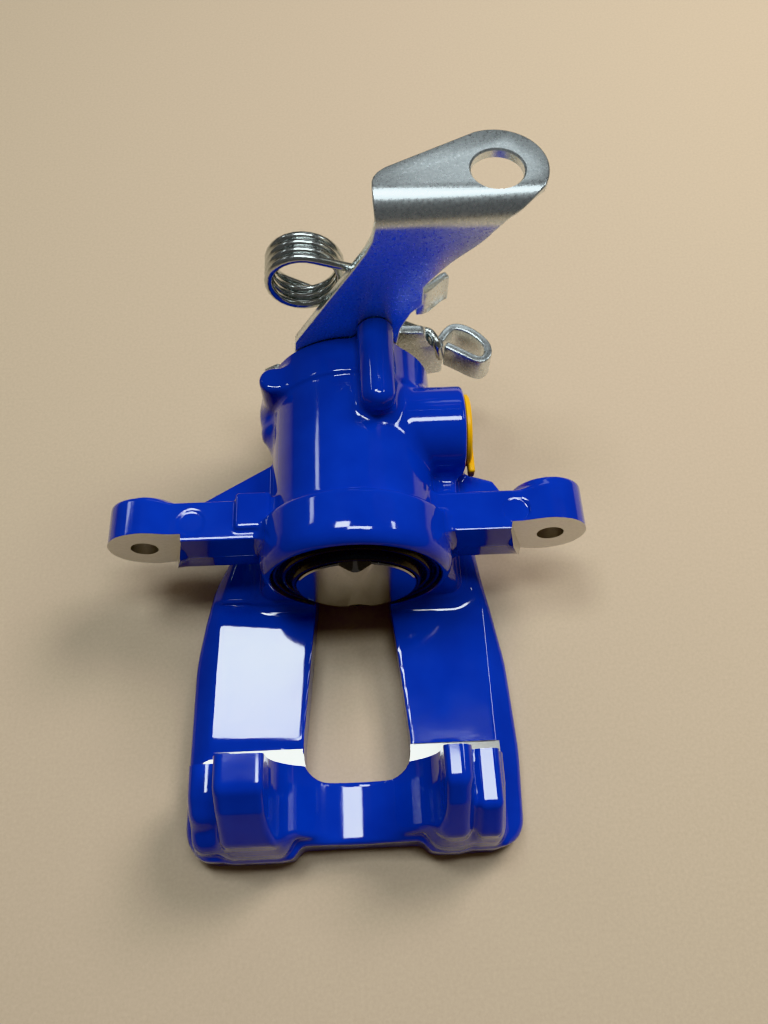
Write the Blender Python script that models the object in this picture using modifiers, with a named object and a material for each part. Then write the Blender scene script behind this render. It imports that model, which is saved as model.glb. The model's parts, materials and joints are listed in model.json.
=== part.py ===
"""Floating brake caliper with a built-in ball-and-ramp parking brake, as separate parts.

Frame: the origin is the centre of the piston's front face and the piston axis is Y.
The fingers are at -Y, the parking-brake lever is at +Y, and +Z is up when the caliper
lies on the flat outer back of its bridge.  All sizes below are in millimetres.
"""
import math

import bmesh
import bpy
from mathutils import Matrix, Vector

MM = 0.001
GAP = 0.3                      # clearance between pieces that touch or run on each other
MILLED = 0.4                   # casting allowance that the flat cuts take off
ROUND = 40                     # sides of a large round shape

# Piston and the bore it runs in
PISTON_R = 19.0
PISTON_END = 42.0
PISTON_HOLLOW_R = 14.0
PISTON_CROWN = 6.0
NOTCH_R = 5.6
NOTCH_TILT = 35.0              # degrees between the rewind notch's floor and the face
BORE_R = PISTON_R + GAP
BORE_END = 62.0

# Cylinder casting
COLLAR_FRONT, COLLAR_END, COLLAR_R = 2.0, 19.5, 30.75
BARREL_R = 26.8
REAR_RING_FRONT, REAR_RING_R = 63.0, 27.6
REAR_FACE = 76.0
BOOT_GROOVE_R, BOOT_GROOVE_END = 27.2, 9.0
SEAL_GROOVE_R, SEAL_GROOVE = 22.0, (13.5, 17.5)
CAGE_GROOVE_R, CAGE_GROOVE = 20.9, (43.4, 45.2)
SHAFT_BORE_R = 8.3
SHAFT_SEAL_BORE_R, SHAFT_SEAL_FRONT = 10.0, 73.7

# Ears that the guide pins screw to
EAR_X = (-68.0, 63.5)
EAR_FACE, EAR_BACK, EAR_R, EAR_HOLE_R = 16.0, 29.0, 11.5, 4.35
ARM_FRONT, ARM_BACK, ARM_LOW, ARM_TOP = 12.3, 28.0, -10.8, 10.3

# Bridge and fingers
BACK_Z = -40.0
BRIDGE_TOP = -26.0
BRIDGE_LEFT, BRIDGE_RIGHT = -57.5, 51.5
BRIDGE_OUTBOARD, BRIDGE_REAR = -78.5, 33.0
FINGER_FACE = -50.5
FINGER_TOP = 4.0
WEB_X, WEB_Z, WEB_R = -2.3, -2.4, 25.6
LEDGE_DEPTH, LEDGE_EDGE = 1.2, -44.3

# Bosses on the cylinder
RIB_X, RIB_Z, RIB_R, RIB_FRONT = 9.0, 32.2, 5.6, 44.5
SIDE_BOSS_X, SIDE_BOSS_Z, SIDE_BOSS_R = -25.5, -1.0, 5.9
LUG_X, LUG_Y, LUG_R, LUG_LOW, LUG_TOP = -25.25, 67.4, 4.75, -2.0, 19.0
PORT_Y, PORT_Z, PORT_R, PORT_FACE = 51.2, 8.0, 14.8, 36.8
PORT_BORE_R, PORT_DEPTH = 5.6, 14.0
BLEED_X, BLEED_Y, BLEED_BOSS_LOW = -24.5, 66.0, -21.0

# Cable bracket: an upright plate behind the rear face with a flange folded to the rear
BRACKET_FRONT, BRACKET_T = 76.3, 3.2
FLANGE_TOP, BEND_R = 82.0, 8.5
BEND_LENGTH = math.pi / 2 * (BEND_R - BRACKET_T / 2)
FRONT_OF_FLANGE = BRACKET_FRONT + BEND_R
FLANGE_HOLE = (44.0, 89.8)
FLANGE_HOLE_R = 7.5
FLANGE_END = (43.6, 90.6, 14.9)
BRACKET_EAR_R = 6.5
BOLT_R, BOLT_HOLE_R, BOLT_HEAD, BOLT_FLATS = 3.0, 3.3, 4.2, 10.0
BLEED_THREAD_R, BLEED_BORE_R = 3.9, 4.2

# Parking-brake shaft, ramps and lever
SHAFT_R, SHAFT_NOSE_R, SHAFT_SHOULDER, SHAFT_END = 6.0, 5.0, 85.7, 99.0
RAMP_FACE, RAMP_BACK, RAMP_R = 55.5, 59.9, 15.0
PUSH_FRONT, PUSH_BACK, PUSH_R = 47.7, 51.7, 18.5
BALL_R, BALL_PCD_R, BALL_Y = 3.5, 10.5, 53.6
BALL_COUNT = 3
LEVER_TRAVEL = math.radians(30.0)
RAMP_LIFT = 1.2                # travel of the push plate for the lever's whole travel
PIN_PCD_R, PIN_R = 17.3, 1.7
LEVER_FRONT, LEVER_T = 86.0, 3.5
HOOK_LOW, HOOK_TOP = -5.0, 7.5

# Return spring of the lever
SPRING_X, SPRING_Z, SPRING_R, SPRING_WIRE = -12.2, 48.0, 11.0, 1.15
SPRING_FRONT, SPRING_BACK = 81.2, 91.2
SPRING_START, SPRING_TURNS = math.radians(69.6), 4.45


# ---------------------------------------------------------------- scene helpers
def clear_scene():
    for obj in list(bpy.data.objects):
        bpy.data.objects.remove(obj, do_unlink=True)


def new_collection(name):
    collection = bpy.data.collections.new(name)
    bpy.context.scene.collection.children.link(collection)
    return collection


def make_material(name, color, roughness, metallic):
    mat = bpy.data.materials.new(name)
    mat.use_nodes = True
    shader = mat.node_tree.nodes["Principled BSDF"]
    shader.inputs["Base Color"].default_value = (*color, 1.0)
    shader.inputs["Roughness"].default_value = roughness
    shader.inputs["Metallic"].default_value = metallic
    return mat


def mm(x, y, z):
    return Vector((x, y, z)) * MM


def link_mesh(name, bm, collection):
    mesh = bpy.data.meshes.new(name)
    bmesh.ops.recalc_face_normals(bm, faces=bm.faces)
    bm.to_mesh(mesh)
    bm.free()
    obj = bpy.data.objects.new(name, mesh)
    collection.objects.link(obj)
    return obj


def rod(name, start, end, radius, end_radius=None, segments=32):
    """A cylinder, or a cone when end_radius is given, between two points."""
    start, end = mm(*start), mm(*end)
    axis = end - start
    turn = axis.to_track_quat("Z", "Y").to_matrix().to_4x4()
    place = Matrix.Translation((start + end) / 2) @ turn
    far = radius if end_radius is None else end_radius
    bm = bmesh.new()
    bmesh.ops.create_cone(bm, cap_ends=True, segments=segments, radius1=radius * MM,
                          radius2=far * MM, depth=axis.length, matrix=place)
    return link_mesh(name, bm, TOOLS)


def along_y(name, radius, front, back, x=0.0, z=0.0, segments=ROUND):
    return rod(name, (x, front, z), (x, back, z), radius, segments=segments)


def box(name, low, high):
    size = [(b - a) * MM for a, b in zip(low, high)]
    centre = [(a + b) / 2 * MM for a, b in zip(low, high)]
    place = Matrix.Translation(centre) @ Matrix.Diagonal((*size, 1.0))
    bm = bmesh.new()
    bmesh.ops.create_cube(bm, size=1.0, matrix=place)
    return link_mesh(name, bm, TOOLS)


def ball(name, centre, radius, segments=24):
    bm = bmesh.new()
    bmesh.ops.create_uvsphere(bm, u_segments=segments, v_segments=segments // 2,
                              radius=radius * MM, matrix=Matrix.Translation(mm(*centre)))
    return link_mesh(name, bm, TOOLS)


def curve_to_mesh(curve_obj, name):
    """The evaluated curve as a closed mesh object, in place of the curve."""
    graph = bpy.context.evaluated_depsgraph_get()
    mesh = bpy.data.meshes.new_from_object(curve_obj.evaluated_get(graph))
    mesh.transform(curve_obj.matrix_world)
    bpy.data.objects.remove(curve_obj)
    bm = bmesh.new()
    bm.from_mesh(mesh)
    bpy.data.meshes.remove(mesh)
    bmesh.ops.remove_doubles(bm, verts=bm.verts, dist=0.001 * MM)
    return link_mesh(name, bm, TOOLS)


def plate(name, outline, low, high, plane="XY"):
    """A flat outline pushed out from low to high, across the plane it is drawn in."""
    curve = bpy.data.curves.new(name, "CURVE")
    curve.dimensions = "2D"
    curve.fill_mode = "BOTH"
    curve.extrude = (high - low) / 2 * MM
    spline = curve.splines.new("POLY")
    spline.points.add(len(outline) - 1)
    for point, (u, v) in zip(spline.points, outline):
        point.co = (u * MM, v * MM, 0.0, 1.0)
    spline.use_cyclic_u = True
    obj = bpy.data.objects.new(name, curve)
    TOOLS.objects.link(obj)
    middle = (low + high) / 2 * MM
    if plane == "XY":
        obj.matrix_world = Matrix.Translation((0, 0, middle))
    elif plane == "XZ":
        obj.matrix_world = Matrix.Translation((0, middle, 0)) @ Matrix.Rotation(math.pi / 2, 4, "X")
    else:
        swap = Matrix(((0, 0, 1, 0), (1, 0, 0, 0), (0, 1, 0, 0), (0, 0, 0, 1)))
        obj.matrix_world = Matrix.Translation((middle, 0, 0)) @ swap
    bpy.context.view_layer.update()
    return curve_to_mesh(obj, name)


def wire(name, points, radius, resolution=2):
    """A round wire through points, with filled ends, as a mesh."""
    curve = bpy.data.curves.new(name, "CURVE")
    curve.dimensions = "3D"
    curve.bevel_depth = radius * MM
    curve.bevel_resolution = resolution
    curve.use_fill_caps = True
    spline = curve.splines.new("POLY")
    spline.points.add(len(points) - 1)
    for point, place in zip(spline.points, points):
        point.co = (*mm(*place), 1.0)
    obj = bpy.data.objects.new(name, curve)
    TOOLS.objects.link(obj)
    bpy.context.view_layer.update()
    return curve_to_mesh(obj, name)


def turned(name, profile, steps=ROUND, closed=True):
    """A profile of (radius, along Y) points turned about the Y axis.

    The profile runs from rear to front on its outer side.
    """
    mesh = bpy.data.meshes.new(name)
    verts = [(radius * MM, 0.0, along * MM) for radius, along in profile]
    edges = [(i, i + 1) for i in range(len(verts) - 1)]
    if closed:
        edges.append((len(verts) - 1, 0))
    mesh.from_pydata(verts, edges, [])
    obj = bpy.data.objects.new(name, mesh)
    TOOLS.objects.link(obj)
    screw = obj.modifiers.new("Turn", "SCREW")
    screw.steps = steps
    screw.render_steps = steps
    screw.use_merge_vertices = True
    screw.merge_threshold = 0.00001
    obj.matrix_world = Matrix.Rotation(-math.pi / 2, 4, "X")
    bpy.context.view_layer.update()
    graph = bpy.context.evaluated_depsgraph_get()
    baked = bpy.data.meshes.new_from_object(obj.evaluated_get(graph))
    baked.transform(obj.matrix_world)
    bpy.data.objects.remove(obj)
    bm = bmesh.new()
    bm.from_mesh(baked)
    bpy.data.meshes.remove(baked)
    bmesh.ops.remove_doubles(bm, verts=bm.verts, dist=0.001 * MM)
    return link_mesh(name, bm, TOOLS)


def combine(obj, others, operation):
    """Boolean each of the others into obj; they stay in the scene as wire guides."""
    for other in others:
        step = obj.modifiers.new(other.name, "BOOLEAN")
        step.operation = operation
        step.solver = "EXACT"
        step.object = other
        other.hide_render = True
        other.display_type = "WIRE"
    return obj


def join(obj, *others):
    return combine(obj, others, "UNION")


def cut(obj, *others):
    return combine(obj, others, "DIFFERENCE")


def finish_part(obj, mat, axis_point=(0.0, 0.0, 0.0)):
    """Move a finished piece to the parts collection with its origin on its joint axis."""
    origin = mm(*axis_point)
    obj.data.transform(Matrix.Translation(-origin))
    obj.location = origin
    obj.data.materials.clear()
    obj.data.materials.append(mat)
    obj.data.shade_smooth()
    obj.data.set_sharp_from_angle(angle=math.radians(30))
    TOOLS.objects.unlink(obj)
    PARTS.objects.link(obj)
    return obj


# ---------------------------------------------------------------- outline helpers
def arc(cx, cy, radius, start, end, count):
    """Points on an arc from start to end degrees."""
    angles = [math.radians(start + (end - start) * i / (count - 1)) for i in range(count)]
    return [(cx + radius * math.cos(a), cy + radius * math.sin(a)) for a in angles]


def rounded(corners, count=5):
    """A closed outline of (x, y, radius) corners with round corners."""
    outline = []
    total = len(corners)
    for i, (x, y, radius) in enumerate(corners):
        here = Vector((x, y))
        before = (Vector(corners[i - 1][:2]) - here).normalized()
        after = (Vector(corners[(i + 1) % total][:2]) - here).normalized()
        if radius <= 0:
            outline.append((x, y))
            continue
        half = before.angle(after) / 2
        setback = radius / math.tan(half)
        centre = here + (before + after).normalized() * (radius / math.sin(half))
        first = here + before * setback - centre
        last = here + after * setback - centre
        for k in range(count):
            mix = first.slerp(last, k / (count - 1)).normalized() * radius
            outline.append(tuple(centre + mix))
    return outline


def ring(inner, outer, front, back):
    """The closed profile of a plain ring."""
    return [(outer, back), (outer, front), (inner, front), (inner, back)]


def hexagon(name, across_flats, front, back, x, z):
    return along_y(name, across_flats / math.sqrt(3), front, back, x, z, segments=6)


# ---------------------------------------------------------------- the casting
def bridge_body():
    """Flat back plate, with the fingers' wall at its outboard end."""
    outline = rounded([(-38, BRIDGE_REAR, 8), (BRIDGE_LEFT + 0.5, -42, 60),
                       (BRIDGE_LEFT, BRIDGE_OUTBOARD, 14), (BRIDGE_RIGHT, BRIDGE_OUTBOARD, 14),
                       (BRIDGE_RIGHT - 0.5, -42, 60), (40, BRIDGE_REAR, 8)])
    back = plate("bridge_plate", outline, BACK_Z, BRIDGE_TOP)
    front = FINGER_FACE + MILLED
    wall_side = [(front, -38.5), (front, -11), (-54, -9), (-61, -10.5), (-73, -27),
                 (-77.5, -32), (-77.8, -38.5)]
    wall = plate("finger_wall", wall_side, -52.5, 46.5, plane="YZ")
    block_side = [(front - 0.1, -29), (front - 0.1, FINGER_TOP - 1.2), (front - 1.3, FINGER_TOP),
                  (-58.5, FINGER_TOP), (-62.5, 0.2), (-70, -21), (-74.5, -29)]
    left_block = plate("left_finger_block", block_side, -43, -26, plane="YZ")
    right_block = plate("right_finger_block", block_side, 22.5, 31.5, plane="YZ")
    pad_side = [(front - 0.2, -30), (front - 0.2, -5.5), (-54, -5.0), (-66, -10), (-69, -14),
                (-74, -30)]
    right_pad = plate("right_finger_rib", pad_side, 31.3, 39.5, plane="YZ")
    return join(back, wall, left_block, right_block, right_pad)


def cylinder_pieces():
    """Collar, barrel, rear ring and the bosses that stand on them."""
    pieces = [
        along_y("collar", COLLAR_R, COLLAR_FRONT, COLLAR_END),
        along_y("barrel", BARREL_R, COLLAR_END - 4, REAR_FACE - 0.5),
        along_y("rear_ring", REAR_RING_R, REAR_RING_FRONT, REAR_FACE + MILLED),
        along_y("bolt_rib", RIB_R, RIB_FRONT + 3, REAR_FACE + 2 * MILLED, RIB_X, RIB_Z, segments=24),
        rod("bolt_rib_nose", (RIB_X, RIB_FRONT, RIB_Z), (RIB_X, RIB_FRONT + 3.2, RIB_Z), 3.0,
            RIB_R * 0.99, segments=24),
        box("bolt_rib_foot", (RIB_X - RIB_R + 0.1, RIB_FRONT + 2.5, 22),
            (RIB_X + RIB_R - 0.1, REAR_FACE + 3 * MILLED, RIB_Z - 0.5)),
        along_y("side_boss", SIDE_BOSS_R, 58, REAR_FACE + 4 * MILLED, SIDE_BOSS_X, SIDE_BOSS_Z,
                segments=24),
        rod("side_boss_taper", (SIDE_BOSS_X + 4, 46, SIDE_BOSS_Z), (SIDE_BOSS_X, 58.2, SIDE_BOSS_Z),
            3.0, SIDE_BOSS_R, segments=24),
        plate("side_lug", arc(LUG_X, LUG_Y, LUG_R, 90, 270, 13)
              + [(-14, LUG_Y - LUG_R), (-14, LUG_Y + LUG_R)], LUG_LOW, LUG_TOP),
        rod("port_boss", (5, PORT_Y, PORT_Z), (PORT_FACE, PORT_Y, PORT_Z), PORT_R, segments=36),
        box("port_foot", (22, 30, -7), (35.5, 47, 4)),
        rod("bleed_boss", (BLEED_X, BLEED_Y, BLEED_BOSS_LOW), (BLEED_X, BLEED_Y, -2), 6.6,
            segments=24),
    ]
    return pieces


def arm_pieces():
    """Two arms with the ears, their gussets, and the web down to the bridge."""
    pieces = []
    for side, x in zip(("left", "right"), EAR_X):
        inner = math.copysign(24, x)
        low_x, high_x = sorted((inner, x))
        section = [(ARM_FRONT, 0), (ARM_FRONT + 1.3, ARM_LOW), (ARM_BACK - 1.2, ARM_LOW), (ARM_BACK, 0),
                   (ARM_BACK - 1.2, ARM_TOP), (ARM_FRONT + 3.0, ARM_TOP), (ARM_FRONT + 1.3, ARM_TOP - 1.8)]
        pieces.append(plate(side + "_arm", section, low_x, high_x, plane="YZ"))
        pieces.append(along_y(side + "_ear", EAR_R, EAR_FACE - MILLED, EAR_BACK, x, 0, segments=32))
    pieces.append(plate("left_gusset", [(-53, 28), (-20, 28), (-20, 49), (-27, 46.5)], -6.5, -2))
    pieces.append(plate("right_gusset", [(22, 28), (52, 28), (46, 37), (30, 42), (22, 46)], -6.5, -2))
    pieces.append(box("left_arm_pad", (-37.4, 16.4, ARM_TOP - 1), (-26.2, 29.2, ARM_TOP + 1.3)))
    saddle = plate("saddle", [(-38.5, -38), (40.5, -38), (30.5, -8), (-28.5, -8)], 3.5, 31.0,
                   plane="XZ")
    pieces.append(saddle)
    return pieces


def housing_cuts():
    """Bores, grooves, holes and machined faces."""
    web = [(WEB_X - WEB_R, 20)] + arc(WEB_X, WEB_Z, WEB_R, 180, 360, 31) + [(WEB_X + WEB_R, 20)]
    window = rounded([(-14.2, 6, 4), (-19, -45.5, 14), (-17.5, -54.2, 7), (13, -54.2, 7),
                      (15.2, -45.5, 14), (10.3, 6, 4)])
    tools = [
        plate("window", window, BACK_Z - 2, BRIDGE_TOP + 4.0),
        along_y("bore", BORE_R, -20, BORE_END),
        along_y("boot_groove", BOOT_GROOVE_R, -20, BOOT_GROOVE_END),
        along_y("seal_groove", SEAL_GROOVE_R, *SEAL_GROOVE),
        along_y("cage_groove", CAGE_GROOVE_R, *CAGE_GROOVE),
        along_y("shaft_bore", SHAFT_BORE_R, BORE_END - 5, REAR_FACE + 5, segments=32),
        along_y("shaft_seal_bore", SHAFT_SEAL_BORE_R, SHAFT_SEAL_FRONT, REAR_FACE + 6, segments=32),
        rod("port_bore", (PORT_FACE - PORT_DEPTH, PORT_Y, PORT_Z), (PORT_FACE + 3, PORT_Y, PORT_Z),
            PORT_BORE_R),
        rod("port_passage", (10, PORT_Y, PORT_Z), (PORT_FACE - PORT_DEPTH + 1, PORT_Y, PORT_Z), 1.8,
            segments=12),
        rod("bleed_bore", (BLEED_X, BLEED_Y, BLEED_BOSS_LOW - 3), (BLEED_X, BLEED_Y, -6),
            BLEED_BORE_R, segments=24),
        along_y("upper_bolt_bore", BOLT_HOLE_R, 58, REAR_FACE + 3, RIB_X, RIB_Z, segments=24),
        along_y("side_bolt_bore", BOLT_HOLE_R, 58, REAR_FACE + 3, SIDE_BOSS_X, SIDE_BOSS_Z,
                segments=24),
        plate("web_arc", web, -90, FINGER_FACE + 2.5, plane="XZ"),
        box("finger_mill", (-60, FINGER_FACE, BRIDGE_TOP - LEDGE_DEPTH), (60, LEDGE_EDGE, 12)),
        box("rear_mill", (-45, REAR_FACE, -45), (45, REAR_FACE + 8, 45)),
    ]
    for side, x in zip(("left", "right"), EAR_X):
        tools.append(along_y(side + "_ear_hole", EAR_HOLE_R, 10, 35, x, 0, segments=28))
        inward = math.copysign(1.0, -x)
        mill = [(x + inward * across, z) for across, z in ((14.1, 16), (13.6, 9), (11.4, 0), (8.6, -9),
                                                           (7.0, -16), (-20, -16), (-20, 16))]
        tools.append(plate(side + "_ear_mill", mill, 5, EAR_FACE, plane="XZ"))
    for i, (x, z) in enumerate(pin_places()):
        tools.append(along_y("pin_bore_%d" % (i + 1), PIN_R + GAP, BORE_END - 2, 68, x, z, segments=16))
    return tools


def pin_places():
    """Two anti-rotation pins, on opposite sides of the bore."""
    places = []
    for degrees in (60.0, 240.0):
        a = math.radians(degrees)
        places.append((PIN_PCD_R * math.cos(a), PIN_PCD_R * math.sin(a)))
    return places


def build_housing(mat):
    housing = bridge_body()
    housing.name = "caliper_housing"
    join(housing, *cylinder_pieces(), *arm_pieces())
    cut(housing, *housing_cuts())
    finish_part(housing, mat)


# ---------------------------------------------------------------- piston group
def build_piston(mat):
    groove_front, groove_back = 18.9, 20.5
    profile = [(0, PISTON_CROWN), (PISTON_HOLLOW_R, PISTON_CROWN), (PISTON_HOLLOW_R, groove_front),
               (15.3, groove_front), (15.3, groove_back), (PISTON_HOLLOW_R, groove_back),
               (PISTON_HOLLOW_R, PISTON_END), (PISTON_R - 0.6, PISTON_END),
               (PISTON_R, PISTON_END - 0.8), (PISTON_R, 6.6), (17.6, 6.2), (17.6, 3.8),
               (PISTON_R, 3.4), (PISTON_R, 0.7), (PISTON_R - 0.7, 0), (0, 0)]
    piston = turned("piston", profile, closed=False)
    tilt = math.radians(NOTCH_TILT)
    middle = Vector((0, -1.8, PISTON_R))
    run = Vector((0, math.sin(tilt), math.cos(tilt))) * 14
    top = rod("top_notch", tuple(middle - run), tuple(middle + run), NOTCH_R)
    foot = along_y("foot_notch", 3.9, -3, 2.6, 0, -PISTON_R - 1.9, segments=24)
    cut(piston, top, foot)
    finish_part(piston, mat)


def build_piston_inner(steel, spring_steel):
    bearing = turned("nut_bearing", ring(9.2, 13.2, 12.3, 14.2), steps=32)
    finish_part(bearing, steel)
    points = []
    turns, steps = 2.6, 12
    total = int(turns * steps)
    for i in range(total + 1):
        a = 2 * math.pi * i / steps
        along = 15.25 + (17.85 - 15.25) * i / total
        points.append((11.4 * math.cos(a), along, 11.4 * math.sin(a)))
    finish_part(wire("clutch_spring", points, 0.45, resolution=1), spring_steel)
    clip = turned("piston_circlip", ring(11.6, 15.0, 19.2, 20.2), steps=32)
    gap = box("clip_gap", (-2.2, 18, -18), (2.2, 22, -8))
    cut(clip, gap)
    finish_part(clip, spring_steel)


def build_adjuster_nut(mat):
    profile = [(0, 10.0), (4.9, 10.0), (4.9, 24), (8.6, 24), (8.6, 12), (11.8, 12), (11.8, 9.6),
               (9.6, 7.6), (0, 7.6)]
    finish_part(turned("adjuster_nut", profile, steps=32, closed=False), mat)


def build_seals(rubber):
    seal = turned("piston_seal", ring(PISTON_R + GAP, SEAL_GROOVE_R - GAP, 13.8, 17.2))
    finish_part(seal, rubber)
    boot = [(26.9, 8.6), (26.9, 3.2), (25.6, 2.3), (24.2, 3.9), (22.6, 2.2), (21.0, 3.4),
            (19.4, 2.9), (19.4, 5.0), (21.2, 5.4), (22.6, 4.3), (24.0, 6.0), (25.0, 5.6),
            (25.2, 8.6)]
    finish_part(turned("dust_boot", boot, steps=32), rubber)
    finish_part(turned("shaft_seal", ring(SHAFT_R + GAP, 9.7, 74.0, 75.7), steps=32), rubber)


# ---------------------------------------------------------------- ramp mechanism
def ramp_grooves(name):
    """Cutters for the ball ramps: tubes on the helices that the balls roll along."""
    tubes = []
    reach = math.radians(34.0)
    slope = RAMP_LIFT / LEVER_TRAVEL
    for i in range(BALL_COUNT):
        base = 2 * math.pi * i / BALL_COUNT + math.pi / 2
        points = []
        for k in range(11):
            a = -reach + 2 * reach * k / 10
            points.append((BALL_PCD_R * math.cos(base + a), BALL_Y + slope * a,
                           BALL_PCD_R * math.sin(base + a)))
        tubes.append(wire("%s_ramp_%d" % (name, i + 1), points, BALL_R + GAP, resolution=2))
    return tubes


def build_shaft(mat):
    profile = [(0, SHAFT_END), (SHAFT_NOSE_R - 0.8, SHAFT_END), (SHAFT_NOSE_R, SHAFT_END - 0.8),
               (SHAFT_NOSE_R, SHAFT_SHOULDER), (SHAFT_R, SHAFT_SHOULDER), (SHAFT_R, RAMP_BACK),
               (RAMP_R, RAMP_BACK), (RAMP_R, RAMP_FACE), (0, RAMP_FACE)]
    shaft = turned("operating_shaft", profile, closed=False)
    cut(shaft, *ramp_grooves("shaft"))
    finish_part(shaft, mat)


def build_push_plate(mat):
    disc = turned("push_plate", ring(3.3, PUSH_R, PUSH_FRONT, PUSH_BACK))
    cut(disc, *ramp_grooves("push"))
    for i, (x, z) in enumerate(pin_places()):
        cut(disc, along_y("plate_notch_%d" % (i + 1), PIN_R + GAP, 44, 55, x, z, segments=16))
    finish_part(disc, mat)


def build_ramp_small(steel, brass):
    cage = turned("ball_cage", ring(7.0, 14.4, 53.0, 54.2))
    for i in range(BALL_COUNT):
        a = 2 * math.pi * i / BALL_COUNT + math.pi / 2
        x, z = BALL_PCD_R * math.cos(a), BALL_PCD_R * math.sin(a)
        cut(cage, along_y("cage_hole_%d" % (i + 1), BALL_R + GAP, 50, 57, x, z, segments=24))
        name = "ramp_ball_%d" % (i + 1)
        finish_part(ball(name, (x, BALL_Y, z), BALL_R, segments=16), steel)
    finish_part(cage, brass)
    for i, (x, z) in enumerate(pin_places()):
        pin = along_y("anti_rotation_pin_%d" % (i + 1), PIN_R, 46.6, 67.6, x, z, segments=16)
        finish_part(pin, steel)
    finish_part(turned("thrust_washer", ring(6.6, 15.2, 60.2, 61.7), steps=32), brass)
    finish_part(turned("shaft_bush", ring(SHAFT_R + GAP, 8.0, 62.3, 73.4), steps=32), brass)


def build_spindle(mat, rubber):
    profile = [(0, 51.3), (3.0, 51.3), (3.0, 47.4), (6.0, 47.4), (6.0, 44.0), (4.9, 43.4),
               (4.9, 39.6), (3.9, 39.4), (3.9, 37.6), (4.9, 37.4), (4.9, 34)]
    pitch = 3.5
    crest = 34.0
    while crest > 15.0:
        profile += [(4.5, crest - 0.6), (4.5, crest - 1.6), (3.9, crest - 2.4)]
        crest -= pitch
    profile += [(3.9, 12.4), (3.3, 12.0), (0, 12.0)]
    finish_part(turned("adjuster_spindle", profile, steps=16, closed=False), mat)
    finish_part(turned("spindle_seal", ring(4.2, 5.6, 37.8, 39.2), steps=24), rubber)


def build_ramp_return(steel, spring_steel):
    cage = [(18.7, 46.1), (18.7, 45.4), (13.0, 45.4), (12.7, 45.1), (12.7, 27.0), (6.6, 27.0),
            (6.6, 27.9), (11.8, 27.9), (11.8, 45.8), (12.4, 46.1)]
    finish_part(turned("spring_cage", cage, steps=32), steel)
    points = []
    turns, steps = 5.0, 12
    total = int(turns * steps)
    for i in range(total + 1):
        a = 2 * math.pi * i / steps
        along = 29.6 + (46.2 - 29.6) * i / total
        points.append((9.6 * math.cos(a), along, 9.6 * math.sin(a)))
    finish_part(wire("ramp_return_spring", points, 1.1, resolution=1), spring_steel)
    clip = turned("cage_circlip", ring(16.6, 20.5, 43.8, 45.0))
    cut(clip, box("cage_clip_gap", (-3, 42, -24), (3, 47, -12)))
    finish_part(clip, spring_steel)


# ---------------------------------------------------------------- lever group
def hook_outline():
    """The strip that curls from the lever's plate into the cable hook, seen from above."""
    centre = [(27.0, 87.8), (32.0, 89.6), (34.8, 93.2), (37.4, 95.4), (40.6, 95.2), (44.0, 93.2),
              (47.0, 90.2), (49.0, 86.8), (49.0, 83.2), (47.0, 80.9), (44.2, 81.4), (39.6, 84.4),
              (34.4, 87.8)]
    return offset_strip(centre, 2.8)


def offset_strip(centre, width):
    """A closed outline of even width along a line of points."""
    left, right = [], []
    last = len(centre) - 1
    for i, point in enumerate(centre):
        before = Vector(centre[max(i - 1, 0)])
        after = Vector(centre[min(i + 1, last)])
        across = (after - before).normalized()
        side = Vector((-across.y, across.x)) * (width / 2)
        left.append(tuple(Vector(point) + side))
        right.append(tuple(Vector(point) - side))
    return left + right[::-1]


def build_lever(mat):
    outline = arc(0, 0, 12.5, 100, 285, 14)
    outline += [(14, -10.5), (24, -8.5), (33.5, -7.0), (33.5, 8.6), (29.0, 9.2), (27.2, 13.5),
                (26.6, 20.8), (18.0, 21.4), (9, 18.0)]
    lever = plate("parking_brake_lever", outline, LEVER_FRONT, LEVER_FRONT + LEVER_T, plane="XZ")
    hook = plate("lever_hook", hook_outline(), HOOK_LOW, HOOK_TOP)
    join(lever, hook)
    cut(lever, along_y("lever_hole", SHAFT_NOSE_R + GAP, 80, 95, segments=32))
    finish_part(lever, mat)
    washer = turned("lever_washer", ring(SHAFT_NOSE_R + GAP, 10.0, 89.8, 91.4), steps=32)
    finish_part(washer, mat)
    nut = hexagon("lever_nut", 16.0, 91.7, 97.7, 0, 0)
    cut(nut, along_y("lever_nut_hole", SHAFT_NOSE_R + GAP, 88, 102, segments=32))
    finish_part(nut, mat)


def build_return_spring(mat):
    steps = 15
    total = int(SPRING_TURNS * steps)
    start = (SPRING_X + SPRING_R * math.cos(SPRING_START),
             SPRING_Z + SPRING_R * math.sin(SPRING_START))
    out = (math.sin(SPRING_START), -math.cos(SPRING_START))
    points = [(start[0] + 15.5 * out[0], SPRING_FRONT, start[1] + 15.5 * out[1])]
    for i in range(total + 1):
        a = SPRING_START + 2 * math.pi * SPRING_TURNS * i / total
        y = SPRING_FRONT + (SPRING_BACK - SPRING_FRONT) * i / total
        points.append((SPRING_X + SPRING_R * math.cos(a), y, SPRING_Z + SPRING_R * math.sin(a)))
    points += [(20.0, 91.4, 14.6), (25.4, 91.3, 10.9), (26.6, 90.6, 10.4)]
    finish_part(wire("lever_return_spring", points, SPRING_WIRE), mat)


# ---------------------------------------------------------------- bracket and fittings
def unfolded(z):
    """Where a height on the upright plate lies along the flat blank, from the bend's start."""
    return z - (FLANGE_TOP - BEND_R) - BEND_LENGTH


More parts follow.
